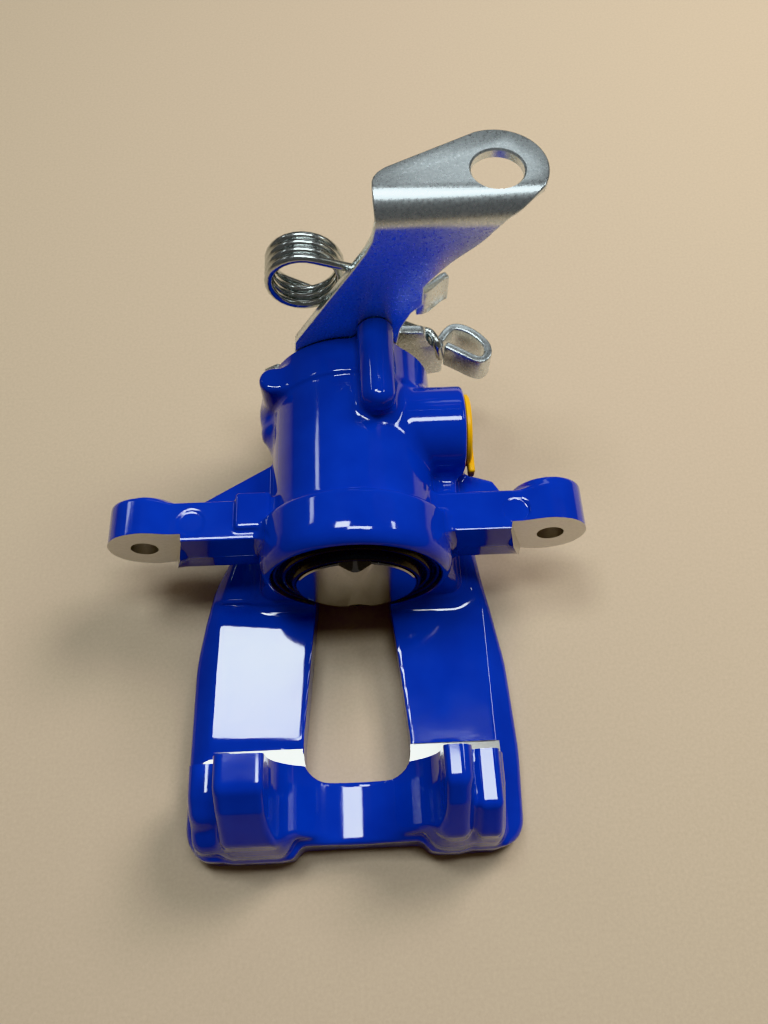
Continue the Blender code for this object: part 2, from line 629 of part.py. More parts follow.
def bracket_blank():
    """The bracket's outline before bending: X across, and along from the bend up the flange."""
    along = FRONT_OF_FLANGE
    cx, cy, end_r = FLANGE_END
    flange = [(8.9, 0.0), (8.9, 1.6), (10.4, 4.6), (12.8, 6.8)]
    flange += [(x, y - along) for x, y in arc(cx, cy, end_r, 110, -30, 14)]
    right = [(52.7, -4.8), (49.5, -7.2), (46.0, -9.2), (43.4, -12.0)]
    right += [(x, unfolded(z)) for x, z in ((39.6, 67.4), (31.8, 60.0), (25.2, 51.6), (24.2, 42.2),
                                            (20.6, 38.6), (17.4, 30.9), (16.2, 21.5))]
    foot = arc(0, 0, 15.5, 60, 190, 9) + [(-19.0, -5.0)]
    foot += arc(SIDE_BOSS_X, SIDE_BOSS_Z, BRACKET_EAR_R, -50, -230, 9)
    foot += [(-24.0, 7.5), (-18.6, 15.0), (-17.2, 26.0), (2.6, 58.5), (8.2, 69.0)]
    return flange + right + [(x, unfolded(z)) for x, z in foot] + [(9.4, -9.0), (9.0, -4.0)]


def bend_blank(blank, steps=8):
    """Fold the flat blank over the bend, with the flange to the rear."""
    bm = bmesh.new()
    bm.from_mesh(blank.data)
    for i in range(steps + 1):
        line = Vector((0, -BEND_LENGTH * i / steps * MM, 0))
        bmesh.ops.bisect_plane(bm, geom=bm.verts[:] + bm.edges[:] + bm.faces[:], plane_co=line,
                               plane_no=(0, 1, 0), dist=0.001 * MM)
    for vert in bm.verts:
        x, along, depth = vert.co / MM
        radius = BEND_R - depth
        turn = min(max(-along / BEND_LENGTH, 0), 1) * math.pi / 2
        y = FRONT_OF_FLANGE - radius * math.sin(turn) + max(along, 0)
        z = FLANGE_TOP - BEND_R + radius * math.cos(turn) + min(along + BEND_LENGTH, 0)
        vert.co = mm(x, y, z)
    bmesh.ops.recalc_face_normals(bm, faces=bm.faces)
    bm.to_mesh(blank.data)
    bm.free()
    return blank


def build_bracket(mat):
    """Upright plate with the folded top flange and its cable hole, and the small rear tab."""
    bracket = bend_blank(plate("cable_bracket", bracket_blank(), 0.0, BRACKET_T))
    tab = plate("bracket_tab", offset_strip([(22.0, 78.0), (25.0, 78.6), (29.6, 82.8), (32.0, 84.2)], 2.4),
                37.0, 47.0)
    join(bracket, tab)
    x, y = FLANGE_HOLE
    cut(bracket, rod("cable_hole", (x, y, 70), (x, y, 90), FLANGE_HOLE_R))
    for name, px, pz in (("upper", RIB_X, RIB_Z), ("side", SIDE_BOSS_X, SIDE_BOSS_Z)):
        cut(bracket, along_y(name + "_bracket_hole", BOLT_HOLE_R, 70, 90, px, pz, segments=24))
    finish_part(bracket, mat)


def build_bolts(mat):
    head = BRACKET_FRONT + BRACKET_T + GAP
    for name, x, z in (("upper", RIB_X, RIB_Z), ("side", SIDE_BOSS_X, SIDE_BOSS_Z)):
        bolt = hexagon("bracket_bolt_" + name, BOLT_FLATS, head, head + BOLT_HEAD, x, z)
        join(bolt, along_y(name + "_shank", BOLT_R, 60, head + 1, x, z, segments=24))
        finish_part(bolt, mat)


def build_bleeder(steel, rubber):
    axis = (BLEED_X, BLEED_Y)
    seat = BLEED_BOSS_LOW - GAP
    screw = rod("bleed_screw", (*axis, seat - 5), (*axis, seat), 5.6, segments=6)
    join(screw, rod("bleed_thread", (*axis, seat - 1), (*axis, -8), BLEED_THREAD_R, segments=24),
         rod("bleed_nipple", (*axis, seat - 11), (*axis, seat - 4), 2.6, segments=20))
    cut(screw, rod("bleed_passage", (*axis, seat - 13), (*axis, -16), 0.9, segments=10))
    finish_part(screw, steel, (*axis, 0.0))
    top = seat - 5 - GAP
    cap = rod("bleed_cap", (*axis, top - 8.5), (*axis, top), 4.2, segments=24)
    cut(cap, rod("cap_bore", (*axis, top - 7), (*axis, top + 2), 2.6 + GAP, segments=20))
    finish_part(cap, rubber, (*axis, 0.0))


def build_port_plug(mat):
    face = PORT_FACE + GAP
    centre = (PORT_Y, PORT_Z)
    plug = rod("port_plug", (face, *centre), (face + 1.6, *centre), 12.0, segments=40)
    stem = rod("plug_stem", (face - 11, *centre), (face + 0.5, *centre), PORT_BORE_R - GAP)
    tab = box("plug_tab", (face + 1.0, 36.2, PORT_Z - 5.5), (face + 3.4, PORT_Y, PORT_Z - 1.0))
    join(plug, stem, tab)
    finish_part(plug, mat, (face, *centre))


# ---------------------------------------------------------------- build
clear_scene()
PARTS = new_collection("brake_caliper")
TOOLS = new_collection("cutters")

BLUE = make_material("blue_paint", (0.005, 0.02, 0.38), 0.12, 0.0)
STEEL = make_material("bright_steel", (0.72, 0.72, 0.70), 0.15, 1.0)
DARK_STEEL = make_material("hardened_steel", (0.38, 0.38, 0.39), 0.3, 1.0)
ZINC = make_material("zinc_plate", (0.70, 0.73, 0.73), 0.28, 1.0)
SPRING_STEEL = make_material("spring_steel", (0.50, 0.52, 0.53), 0.25, 1.0)
BRASS = make_material("bronze", (0.60, 0.42, 0.20), 0.3, 1.0)
RUBBER = make_material("black_rubber", (0.012, 0.012, 0.014), 0.35, 0.0)
YELLOW = make_material("yellow_plastic", (0.85, 0.48, 0.02), 0.4, 0.0)

build_housing(BLUE)
build_piston(STEEL)
build_piston_inner(DARK_STEEL, SPRING_STEEL)
build_adjuster_nut(DARK_STEEL)
build_seals(RUBBER)
build_shaft(DARK_STEEL)
build_push_plate(DARK_STEEL)
build_ramp_small(STEEL, BRASS)
build_spindle(DARK_STEEL, RUBBER)
build_ramp_return(ZINC, SPRING_STEEL)
build_lever(ZINC)
build_return_spring(ZINC)
build_bracket(ZINC)
build_bolts(ZINC)
build_bleeder(ZINC, RUBBER)
build_port_plug(YELLOW)
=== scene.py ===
"""Looks of the brake caliper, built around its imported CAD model.

Lengths are millimetres in the caliper's own frame and are scaled by MM on the way into Blender:
+Y runs along the piston axis to the lever side, +Z is up, the piston's front face is at the origin.
"""

import itertools
import json
import math

import bmesh
import bpy
import numpy as np
from mathutils import Matrix, Vector


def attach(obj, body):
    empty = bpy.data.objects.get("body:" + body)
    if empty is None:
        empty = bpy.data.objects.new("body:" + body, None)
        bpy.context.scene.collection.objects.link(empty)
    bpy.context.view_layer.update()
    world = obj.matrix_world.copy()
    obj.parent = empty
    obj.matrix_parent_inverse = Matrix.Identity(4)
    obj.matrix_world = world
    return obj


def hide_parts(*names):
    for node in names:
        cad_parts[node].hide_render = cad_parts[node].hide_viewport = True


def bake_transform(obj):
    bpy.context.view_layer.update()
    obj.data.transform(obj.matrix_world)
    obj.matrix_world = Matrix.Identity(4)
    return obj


MM = 0.001
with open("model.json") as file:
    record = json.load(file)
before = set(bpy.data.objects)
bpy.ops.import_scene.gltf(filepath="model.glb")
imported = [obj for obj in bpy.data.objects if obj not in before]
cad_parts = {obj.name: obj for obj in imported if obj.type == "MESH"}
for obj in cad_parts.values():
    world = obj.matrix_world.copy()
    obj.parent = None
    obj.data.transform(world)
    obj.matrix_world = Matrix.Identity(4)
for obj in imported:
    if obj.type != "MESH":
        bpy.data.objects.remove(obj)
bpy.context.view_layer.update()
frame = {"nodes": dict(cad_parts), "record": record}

# ---------------------------------------------------------------- driving dimensions
GRID = 0.62          # step of the grid that the casting is modelled on
ROUND = 96                             # sides of a large turned piece
PLANES = {"XY": (0, 1, 2), "XZ": (0, 2, 1), "YZ": (1, 2, 0)}    # across, up and normal axes
CORNERS = tuple(itertools.product((0, 1), repeat=3))            # corners of a grid cell

PISTON_R, PISTON_END, PISTON_HOLLOW_R, PISTON_CROWN = 19.0, 42.0, 14.0, 6.0
BORE_R, BORE_END = 19.3, 62.0
COLLAR_R, COLLAR_FRONT, COLLAR_END = 30.75, 2.0, 19.5
BARREL_R, REAR_RING_R, REAR_RING_FRONT, REAR_FACE = 26.8, 27.6, 63.0, 76.0
BOOT_GROOVE_R, BOOT_GROOVE_END = 27.2, 9.0
SEAL_GROOVE_R, SEAL_GROOVE = 22.0, (13.5, 17.5)
CAGE_GROOVE_R, CAGE_GROOVE = 20.9, (43.4, 45.2)
SHAFT_BORE_R, SHAFT_SEAL_R, SHAFT_SEAL_FRONT = 8.3, 10.0, 73.7

EARS = {"left": -68.0, "right": 63.5}
EAR_BACKS = {"left": 29.0, "right": 31.0}
EAR_FACE, EAR_R, EAR_HOLE_R = 16.0, 11.5, 4.35
EAR_WALL_LEAN = {"left": 0.3, "right": 1.6}
ARM_ROOT, MARK_REACH, MARK_Y, MARK_R, MARK_DEPTH = 24.0, 27.3, 19.8, 4.2, 0.22
GUSSET_LOW, GUSSET_TOP = -6.5, -1.5
ARM_FRONT, ARM_BACK, ARM_LOW, ARM_TOP = 12.3, 28.0, -10.8, 10.3

BACK_Z, BRIDGE_TOP, SHOULDER_LOW = -40.0, -26.0, -34.0
FINGER_FACE, FINGER_TOP = -50.5, 4.0
WEB_X, WEB_Z, WEB_R = -2.3, -2.4, 25.6
LEDGE_DEPTH, LEDGE_EDGE = 1.2, -44.3

RIB_X, RIB_Z, RIB_R, RIB_FRONT = 9.0, 32.2, 5.6, 44.5
SIDE_X, SIDE_Z, SIDE_R = -25.5, -1.0, 5.9
LUG_X, LUG_Y, LUG_R, LUG_LOW, LUG_TOP = -25.25, 67.4, 4.75, -2.0, 19.0
PORT_Y, PORT_Z, PORT_R, PORT_FACE, PORT_BORE_R = 51.2, 8.0, 14.8, 36.8, 5.6
BLEED_X, BLEED_Y, BLEED_LOW, BLEED_BORE_R, BLEED_THREAD_R = -24.5, 66.0, -21.0, 4.2, 3.9
BLEED_BOSS_R, BLEED_MILL_R = 6.6, 9.0
PIN_PCD_R, PIN_HOLE_R = 17.3, 2.0

BRACKET_FRONT, BRACKET_T, FLANGE_TOP, BEND_R = 76.3, 3.2, 82.0, 8.5
BEND_LENGTH = math.pi / 2 * (BEND_R - BRACKET_T / 2)
FRONT_OF_FLANGE = BRACKET_FRONT + BEND_R
FLANGE_HOLE, FLANGE_HOLE_R, FLANGE_END = (44.0, 89.8), 7.5, (43.6, 90.6, 14.9)
BOLT_HOLE_R, BOLT_HEAD, BOLT_FLATS = 3.3, 4.2, 10.0
SHAFT_NOSE_R = 5.0
LEVER_FRONT, LEVER_T, HOOK_LOW, HOOK_TOP = 86.0, 3.5, -3.0, 7.5
SPRING_X, SPRING_Z, SPRING_R, SPRING_WIRE = -12.2, 48.0, 11.0, 1.38
SPRING_FRONT, SPRING_BACK = 81.2, 91.2
SPRING_START, SPRING_TURNS = math.radians(69.6), 3.45


# ---------------------------------------------------------------- distance field of the casting
class Field:
    """Signed distances on a grid, negative inside the casting."""

    def __init__(self, low, high, step):
        self.low = np.array(low, float)
        self.step = step
        counts = np.ceil((np.array(high) - self.low) / step).astype(int) + 1
        self.axes = [self.low[i] + step * np.arange(counts[i]) for i in range(3)]
        self.value = np.full(counts, 40.0, np.float32)

    def part_near(self, low, high, margin):
        """The slice of the grid round a box, and its coordinates."""
        cut = []
        for i in range(3):
            first = int(np.searchsorted(self.axes[i], low[i] - margin))
            last = int(np.searchsorted(self.axes[i], high[i] + margin))
            cut.append(slice(first, last))
        x, y, z = (self.axes[i][cut[i]].astype(np.float32) for i in range(3))
        return tuple(cut), x[:, None, None], y[None, :, None], z[None, None, :]

    def add(self, shape, fillet=2.0):
        low, high, distance = shape
        cut, x, y, z = self.part_near(low, high, fillet + 3 * self.step)
        old, new = self.value[cut], distance(x, y, z)
        self.value[cut] = soft_min(old, new, fillet)

    def carve(self, shape, edge=1.0):
        low, high, distance = shape
        cut, x, y, z = self.part_near(low, high, edge + 3 * self.step)
        old, new = self.value[cut], distance(x, y, z)
        self.value[cut] = -soft_min(-old, new, edge)

    def sample(self, points):
        """Distance and gradient at points, between the grid's own values."""
        place = (points - self.low) / self.step
        base = np.clip(np.floor(place).astype(int), 0, np.array(self.value.shape) - 2)
        t = place - base
        corner = {}
        for i, j, k in CORNERS:
            corner[i, j, k] = self.value[base[:, 0] + i, base[:, 1] + j, base[:, 2] + k]
        weights = [(1 - t[:, i], t[:, i]) for i in range(3)]
        distance = sum(c * weights[0][i] * weights[1][j] * weights[2][k]
                       for (i, j, k), c in corner.items())
        gradient = np.zeros((len(points), 3))
        for (i, j, k), c in corner.items():
            gradient[:, 0] += (2 * i - 1) * c * weights[1][j] * weights[2][k]
            gradient[:, 1] += (2 * j - 1) * c * weights[0][i] * weights[2][k]
            gradient[:, 2] += (2 * k - 1) * c * weights[0][i] * weights[1][j]
        return distance, gradient / self.step

    def surface(self):
        """Points and quads of the zero surface, one point in each cell that it crosses."""
        inside = self.value < 0
        count = np.zeros(np.array(inside.shape) - 1, np.int8)
        for i, j, k in CORNERS:
            count += inside[i:i + count.shape[0], j:j + count.shape[1], k:k + count.shape[2]]
        cells = np.argwhere((count > 0) & (count < 8))
        number = np.full(count.shape, -1, np.int64)
        number[tuple(cells.T)] = np.arange(len(cells))
        total = np.zeros((len(cells), 3))
        hits = np.zeros(len(cells))
        for axis in range(3):
            others = [a for a in range(3) if a != axis]
            for p, q in itertools.product((0, 1), repeat=2):
                start = cells.copy()
                start[:, others[0]] += p
                start[:, others[1]] += q
                end = start.copy()
                end[:, axis] += 1
                a, b = self.value[tuple(start.T)], self.value[tuple(end.T)]
                crossed = (a < 0) != (b < 0)
                t = np.where(crossed, a / np.where(crossed, a - b, 1), 0)
                point = start.astype(float)
                point[:, axis] += t
                total += point * crossed[:, None]
                hits += crossed
        points = self.low + self.step * total / hits[:, None]
        quads = []
        for axis in range(3):
            others = [a for a in range(3) if a != axis]
            first = np.take(inside, range(inside.shape[axis] - 1), axis)
            second = np.take(inside, range(1, inside.shape[axis]), axis)
            for leaving in (True, False):
                edges = np.argwhere(first & ~second if leaving else ~first & second)
                edges = edges[(edges[:, others[0]] > 0) & (edges[:, others[1]] > 0)]
                ring_of = []
                for p, q in ((0, 0), (1, 0), (1, 1), (0, 1)):
                    cell = edges.copy()
                    cell[:, others[0]] -= 1 - p
                    cell[:, others[1]] -= 1 - q
                    ring_of.append(number[tuple(cell.T)])
                quad = np.stack(ring_of, 1)
                if leaving == (axis == 1):
                    quad = quad[:, ::-1]
                quads.append(quad)
        for _ in range(4):
            distance, gradient = self.sample(points)
            length = np.maximum((gradient ** 2).sum(1), 0.05)
            move = (distance / length)[:, None] * gradient
            points = points - np.clip(move, -self.step, self.step)
        return points, np.concatenate(quads)


def soft_min(a, b, radius):
    """The smaller of two distances, with a round fillet where they meet."""
    if radius <= 0:
        return np.minimum(a, b)
    inner = np.maximum(radius - a, 0) ** 2 + np.maximum(radius - b, 0) ** 2
    return np.maximum(radius, np.minimum(a, b)) - np.sqrt(inner)


def rounded(side, end, edge):
    """Joins the distance to a shape's side and to its ends with a round edge."""
    out = np.sqrt(np.maximum(side + edge, 0) ** 2 + np.maximum(end + edge, 0) ** 2)
    return np.minimum(np.maximum(side, end) + edge, 0) + out - edge


def block(low, high, edge=1.0):
    low, high = np.array(low, float), np.array(high, float)
    mid, half = (low + high) / 2, (high - low) / 2 - edge

    def distance(x, y, z):
        p, q, r = abs(x - mid[0]) - half[0], abs(y - mid[1]) - half[1], abs(z - mid[2]) - half[2]
        out = np.sqrt(np.maximum(p, 0) ** 2 + np.maximum(q, 0) ** 2 + np.maximum(r, 0) ** 2)
        return out + np.minimum(np.maximum(np.maximum(p, q), r), 0) - edge
    return low, high, distance


def bar(start, end, radius, end_radius=None, edge=1.0):
    """A straight round bar between two points, maybe tapered, with rounded rims."""
    start, end = np.array(start, float), np.array(end, float)
    length = np.linalg.norm(end - start)
    way = (end - start) / length
    last = radius if end_radius is None else end_radius
    most = max(radius, last)
    spread = most * np.sqrt(np.maximum(1 - way ** 2, 0))

    def distance(x, y, z):
        dx, dy, dz = x - start[0], y - start[1], z - start[2]
        along = dx * way[0] + dy * way[1] + dz * way[2]
        across = np.sqrt(np.maximum(dx * dx + dy * dy + dz * dz - along * along, 0))
        share = np.clip(along / length, 0, 1)
        side = across - (radius + (last - radius) * share)
        return rounded(side, abs(along - length / 2) - length / 2, edge)
    return np.minimum(start, end) - spread, np.maximum(start, end) + spread, distance


def outline_distance(points, u, v):
    """Signed distance to a closed outline in its own plane."""
    best = np.float32(1e9)
    sign = np.ones(np.broadcast(u, v).shape, np.float32)
    for i, (bu, bv) in enumerate(points):
        au, av = points[i - 1]
        eu, ev = bu - au, bv - av
        wu, wv = u - au, v - av
        t = np.clip((wu * eu + wv * ev) / (eu * eu + ev * ev), 0, 1)
        best = np.minimum(best, (wu - eu * t) ** 2 + (wv - ev * t) ** 2)
        above, below = v >= av, v < bv
        left = eu * wv > ev * wu
        sign = np.where((above & below & left) | (~above & ~below & ~left), -sign, sign)
    return sign * np.sqrt(best)


def slab(points, low, high, plane="XY", edge=1.0):
    """An outline carried from low to high across its plane."""
    axes = PLANES[plane]
    flat = np.array(points, float)
    corner_low, corner_high = np.zeros(3), np.zeros(3)
    corner_low[axes[0]], corner_low[axes[1]] = flat.min(0)
    corner_high[axes[0]], corner_high[axes[1]] = flat.max(0)
    corner_low[axes[2]], corner_high[axes[2]] = low, high

    def distance(x, y, z):
        place = (x, y, z)
        side = outline_distance(points, place[axes[0]], place[axes[1]])
        return rounded(side, abs(place[axes[2]] - (low + high) / 2) - (high - low) / 2, edge)
    return corner_low, corner_high, distance


def lathe(profile):
    """A (radius, y) outline turned about the piston's axis."""
    reach = max(radius for radius, _ in profile)
    first, last = min(y for _, y in profile), max(y for _, y in profile)

    def distance(x, y, z):
        return outline_distance(profile, np.sqrt(x * x + z * z), y)
    return np.array([-reach, first, -reach]), np.array([reach, last, reach]), distance


def round_corners(corners, count=6):
    """A closed outline of (u, v, radius) corners."""
    outline = []
    for i, (u, v, radius) in enumerate(corners):
        here = Vector((u, v))
        before = (Vector(corners[i - 1][:2]) - here).normalized()
        after = (Vector(corners[(i + 1) % len(corners)][:2]) - here).normalized()
        if radius <= 0:
            outline.append((u, v))
            continue
        half = before.angle(after) / 2
        setback = radius / math.tan(half)
        centre = here + (before + after).normalized() * (radius / math.sin(half))
        first, last = here + before * setback - centre, here + after * setback - centre
        for k in range(count):
            outline.append(tuple(centre + first.slerp(last, k / (count - 1)).normalized() * radius))
    return outline


def arc(cx, cy, radius, start, end, count):
    angles = [math.radians(start + (end - start) * i / (count - 1)) for i in range(count)]
    return [(cx + radius * math.cos(a), cy + radius * math.sin(a)) for a in angles]


# ---------------------------------------------------------------- meshes
def new_object(name, mesh):
    obj = bpy.data.objects.new(name, mesh)
    bpy.context.scene.collection.objects.link(obj)
    return obj


def from_bmesh(name, bm):
    bmesh.ops.recalc_face_normals(bm, faces=bm.faces)
    mesh = bpy.data.meshes.new(name)
    bm.to_mesh(mesh)
    bm.free()
    return new_object(name, mesh)


def rod(name, start, end, radius, end_radius=None, sides=64):
    start, end = Vector(start) * MM, Vector(end) * MM
    last = radius if end_radius is None else end_radius
    bm = bmesh.new()
    turn = (end - start).to_track_quat("Z", "Y").to_matrix().to_4x4()
    bmesh.ops.create_cone(bm, cap_ends=True, segments=sides, radius1=radius * MM,
                          radius2=last * MM, depth=(end - start).length,
                          matrix=Matrix.Translation((start + end) / 2) @ turn)
    return from_bmesh(name, bm)


def cuboid(name, low, high):
    bm = bmesh.new()
    low, high = Vector(low) * MM, Vector(high) * MM
    size = high - low
    bmesh.ops.create_cube(bm, size=1.0, matrix=Matrix.Translation((low + high) / 2)
                          @ Matrix.Diagonal((*size, 1.0)))
    return from_bmesh(name, bm)


def along_y(name, radius, front, back, x=0.0, z=0.0, sides=64):
    return rod(name, (x, front, z), (x, back, z), radius, sides=sides)


def turned(name, profile, sides=ROUND, x=0.0, z=0.0):
    """Turns (radius, y) points about a line along Y. A profile that starts and ends on the axis,
    or one that comes back to its first point, makes a closed solid."""
    bm = bmesh.new()
    closed = profile[0][0] > 0 or profile[-1][0] > 0
    rings = []
    for radius, y in profile:
        if radius <= 1e-6:
            rings.append([bm.verts.new((x * MM, y * MM, z * MM))])
            continue
        ring = []
        for i in range(sides):
            a = 2 * math.pi * i / sides
            ring.append(bm.verts.new(((x + radius * math.cos(a)) * MM, y * MM,
                                      (z + radius * math.sin(a)) * MM)))
        rings.append(ring)
    pairs = list(zip(rings, rings[1:]))
    if closed:
        pairs.append((rings[-1], rings[0]))
    for one, two in pairs:
        for i in range(sides):
            j = (i + 1) % sides
            if len(one) == 1 and len(two) == 1:
                continue
            if len(one) == 1:
                bm.faces.new((one[0], two[i], two[j]))
            elif len(two) == 1:
                bm.faces.new((one[i], one[j], two[0]))
            else:
                bm.faces.new((one[i], one[j], two[j], two[i]))
    return from_bmesh(name, bm)


def plate(name, outline, low, high, plane="XY"):
    """A flat outline given thickness across its plane."""
    axes = PLANES[plane]
    bm = bmesh.new()
    verts = []
    for u, v in outline:
        place = [0.0, 0.0, 0.0]
        place[axes[0]], place[axes[1]], place[axes[2]] = u * MM, v * MM, low * MM
        verts.append(bm.verts.new(place))
    face = bm.faces.new(verts)
    top = bmesh.ops.extrude_face_region(bm, geom=[face])["geom"]
    shift = Vector((0, 0, 0))
    shift[axes[2]] = (high - low) * MM
    bmesh.ops.translate(bm, verts=[v for v in top if isinstance(v, bmesh.types.BMVert)], vec=shift)
    return from_bmesh(name, bm)


def smooth_path(points, steps=6):
    """Catmull-Rom points through the given ones."""
    points = [Vector(p) for p in points]
    ends = [points[0] * 2 - points[1]] + points + [points[-1] * 2 - points[-2]]
    path = []
    for i in range(1, len(ends) - 2):
        a, b, c, d = ends[i - 1:i + 3]
        for k in range(steps):
            t = k / steps
            path.append(0.5 * (2 * b + (c - a) * t + (2 * a - 5 * b + 4 * c - d) * t * t
                               + (3 * b - a - 3 * c + d) * t ** 3))
    return path + [points[-1]]


def wire(name, path, radius, sides=16):
    """A round wire along a path, swept without twist, with rounded ends."""
    path = [Vector(p) for p in path]
    ways = []
    for i in range(len(path)):
        ways.append((path[min(i + 1, len(path) - 1)] - path[max(i - 1, 0)]).normalized())
    side = ways[0].orthogonal().normalized()
    bm = bmesh.new()
    rings = []

    def tip(point, way, k):
        share = math.sin(math.pi / 2 * k / 3)
        return point + way * radius * (1 - share) * 0.6, max(radius * share, radius * 0.45)
    stations = [(*tip(path[0], -ways[0], k), ways[0]) for k in (0, 1, 2)]
    stations += [(p, radius, w) for p, w in zip(path, ways)]
    stations += [(*tip(path[-1], ways[-1], k), ways[-1]) for k in (2, 1, 0)]
    for point, size, way in stations:
        side = (side - way * side.dot(way)).normalized()
        up = way.cross(side)
        ring = []
        for i in range(sides):
            a = 2 * math.pi * i / sides
            ring.append(bm.verts.new((point + (side * math.cos(a) + up * math.sin(a)) * size) * MM))
        rings.append(ring)
    for one, two in zip(rings, rings[1:]):
        for i in range(sides):
            j = (i + 1) % sides
            bm.faces.new((one[i], one[j], two[j], two[i]))
    bm.faces.new(rings[0])
    bm.faces.new(rings[-1])
    return from_bmesh(name, bm)


def apply_modifiers(obj):
    bpy.context.view_layer.update()
    graph = bpy.context.evaluated_depsgraph_get()
    mesh = bpy.data.meshes.new_from_object(obj.evaluated_get(graph))
    old = obj.data
    obj.modifiers.clear()
    obj.data = mesh
    bpy.data.meshes.remove(old)


def boolean(obj, tools, operation):
    for tool in tools:
        mod = obj.modifiers.new("boolean", "BOOLEAN")
        mod.operation = operation
        mod.solver = "MANIFOLD"
        mod.object = tool
    apply_modifiers(obj)
    for tool in tools:
        bpy.data.objects.remove(tool, do_unlink=True)


def rounded_edges(obj, width, segments=3, angle=30):
    mod = obj.modifiers.new("bevel", "BEVEL")
    mod.width = width * MM
    mod.segments = segments
    mod.limit_method = "ANGLE"
    mod.angle_limit = math.radians(angle)
    apply_modifiers(obj)


def shade(obj, angle=32):
    obj.data.shade_smooth()
    obj.data.set_sharp_from_angle(angle=math.radians(angle))


def dress(obj, angle, body, slot_name, node, *materials):
    """Gives a finished piece its shading and materials, hides the CAD node that it stands for and,
    unless it blends two bodies, hangs it on its body."""
    shade(obj, angle)
    obj.data.materials.clear()
    for mat in materials:
        obj.data.materials.append(mat)
    if body:
        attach(obj, body)
    if node:
        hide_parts(node)


# ---------------------------------------------------------------- the casting
def bridge_outline():
    return round_corners([(-40.0, 33, 5), (-50.6, 13.7, 30), (-56.2, -14, 60), (-56.6, -45, 40),
                          (-56.6, -76.8, 11), (-22.5, -77.0, 2), (-19.5, -73.3, 3), (16.5, -73.3, 3),
                          (20.0, -76.4, 2), (49.4, -76.0, 9), (51.0, -47, 60), (49.4, -18, 60),
                          (44.2, 9.6, 30), (40.5, 33, 5)], 8)


def add_bridge(field):
    """Back plate with sloping shoulders. Its left arm falls away round a flat raised pad."""
    field.add(slab(bridge_outline(), BACK_Z, BRIDGE_TOP, edge=1.3), 0)
    crest = [(-39, 33), (-46.0, 8), (-48.4, -1), (-49.2, -42), (-49.2, -80), (42.4, -80), (42.4, 1),
             (37, 33)]
    pad = round_corners([(-47.9, -1.1, 1.5), (-17.5, -4.2, 1.5), (-19.7, -41.7, 1.5), (-49.1, -40.7, 1.5)])
    around = [(-64, 6), (-8, 6), (-8, -47), (-64, -47)]
    low, high, region = slab(around, BRIDGE_TOP - 12, BRIDGE_TOP + 8, edge=0.1)

    def slope(x, y, z):
        outside = np.maximum(outline_distance(pad, x, y), 0)
        return np.maximum(region(x, y, z), -(z - BRIDGE_TOP + 0.32 * outside) / 1.05)

    def shoulder(x, y, z):
        outside = np.maximum(outline_distance(crest, x, y), 0)
        return -(z - np.maximum(BRIDGE_TOP - 0.8 * outside, SHOULDER_LOW)) / 1.28
    field.carve((low, high, slope), 0.5)
    field.carve((np.array([-60, -80, SHOULDER_LOW]), np.array([54, 36, BRIDGE_TOP + 2]), shoulder), 1.2)


def add_fingers(field):
    """The wall that turns down over the disc, with a block and a rib on each finger."""
    front = LEDGE_EDGE - 2.6
    wall = round_corners([(front, -39, 0), (front, -10.8, 0), (-60, -10.8, 5), (-74.0, -20, 7),
                          (-76.2, -30, 5), (-76.6, -39.0, 0)])
    field.add(slab(wall, -52.4, -22.0, plane="YZ", edge=4.0), 1.5)
    field.add(slab(wall, 18.4, 42.6, plane="YZ", edge=4.0), 1.5)
    middle = round_corners([(front, -39, 0), (front, -10, 0), (-70.0, -10, 3), (-72.2, -30, 3),
                            (-73.2, -39.0, 0)])
    field.add(slab(middle, -27.0, 23.0, plane="YZ", edge=1.0), 2.5)
    block_side = round_corners([(front, -32, 0), (front, FINGER_TOP, 0), (-60.5, FINGER_TOP, 4.5),
                                (-66.2, -1.6, 6), (-74.0, -12.5, 6), (-76.0, -24, 8), (-76.4, -34, 1)])
    field.add(slab(block_side, -42.6, -24.0, plane="YZ", edge=3.0), 3.6)
    field.add(slab(block_side, 21.0, 31.8, plane="YZ", edge=4.2), 3.6)
    rib_side = round_corners([(front, -31, 0), (front, -5.0, 0), (-66.5, -5.2, 2.5), (-74.0, -14, 4),
                              (-76.0, -31, 2)])
    field.add(slab(rib_side, 32.8, 40.6, plane="YZ", edge=2.2), 2.4)
    field.add(bar((-47.9, front, -15.2), (-47.9, -67, -15.2), 3.3, 3.0, edge=2.8), 3.2)
    web = [(WEB_X - WEB_R, 20)] + arc(WEB_X, WEB_Z, WEB_R, 180, 360, 41) + [(WEB_X + WEB_R, 20)]
    field.carve(slab(web, -95, FINGER_FACE + 2.5, plane="XZ", edge=0.3), 1.5)


def add_cylinder(field):
    """Collar, barrel and rear ring, and the saddle that stands them on the bridge."""
    saddle = [(-39.0, -38), (41.0, -38), (29.5, -6), (-27.5, -6)]
    field.add(slab(saddle, 5.5, 31.0, plane="XZ", edge=4.5), 6.0)
    field.add(bar((0, COLLAR_END - 6, 0), (0, REAR_FACE + 3, 0), BARREL_R, edge=0.5), 4.0)
    field.add(bar((0, COLLAR_FRONT + 9, 0), (0, COLLAR_END, 0), COLLAR_R, edge=1.3), 2.2)
    crown = [(0, 14), (COLLAR_R, 14), (COLLAR_R, 8.6), (30.62, 6.9), (30.35, 5.5), (29.8, 4.2), (29.1, 3.2),
             (28.2, 2.5), (27.0, 2.1), (25.5, 1.9), (0, 1.9)]
    field.add(lathe(crown), 0)
    field.add(bar((0, REAR_RING_FRONT, 0), (0, REAR_FACE + 3, 0), REAR_RING_R, edge=0.5), 0.7)


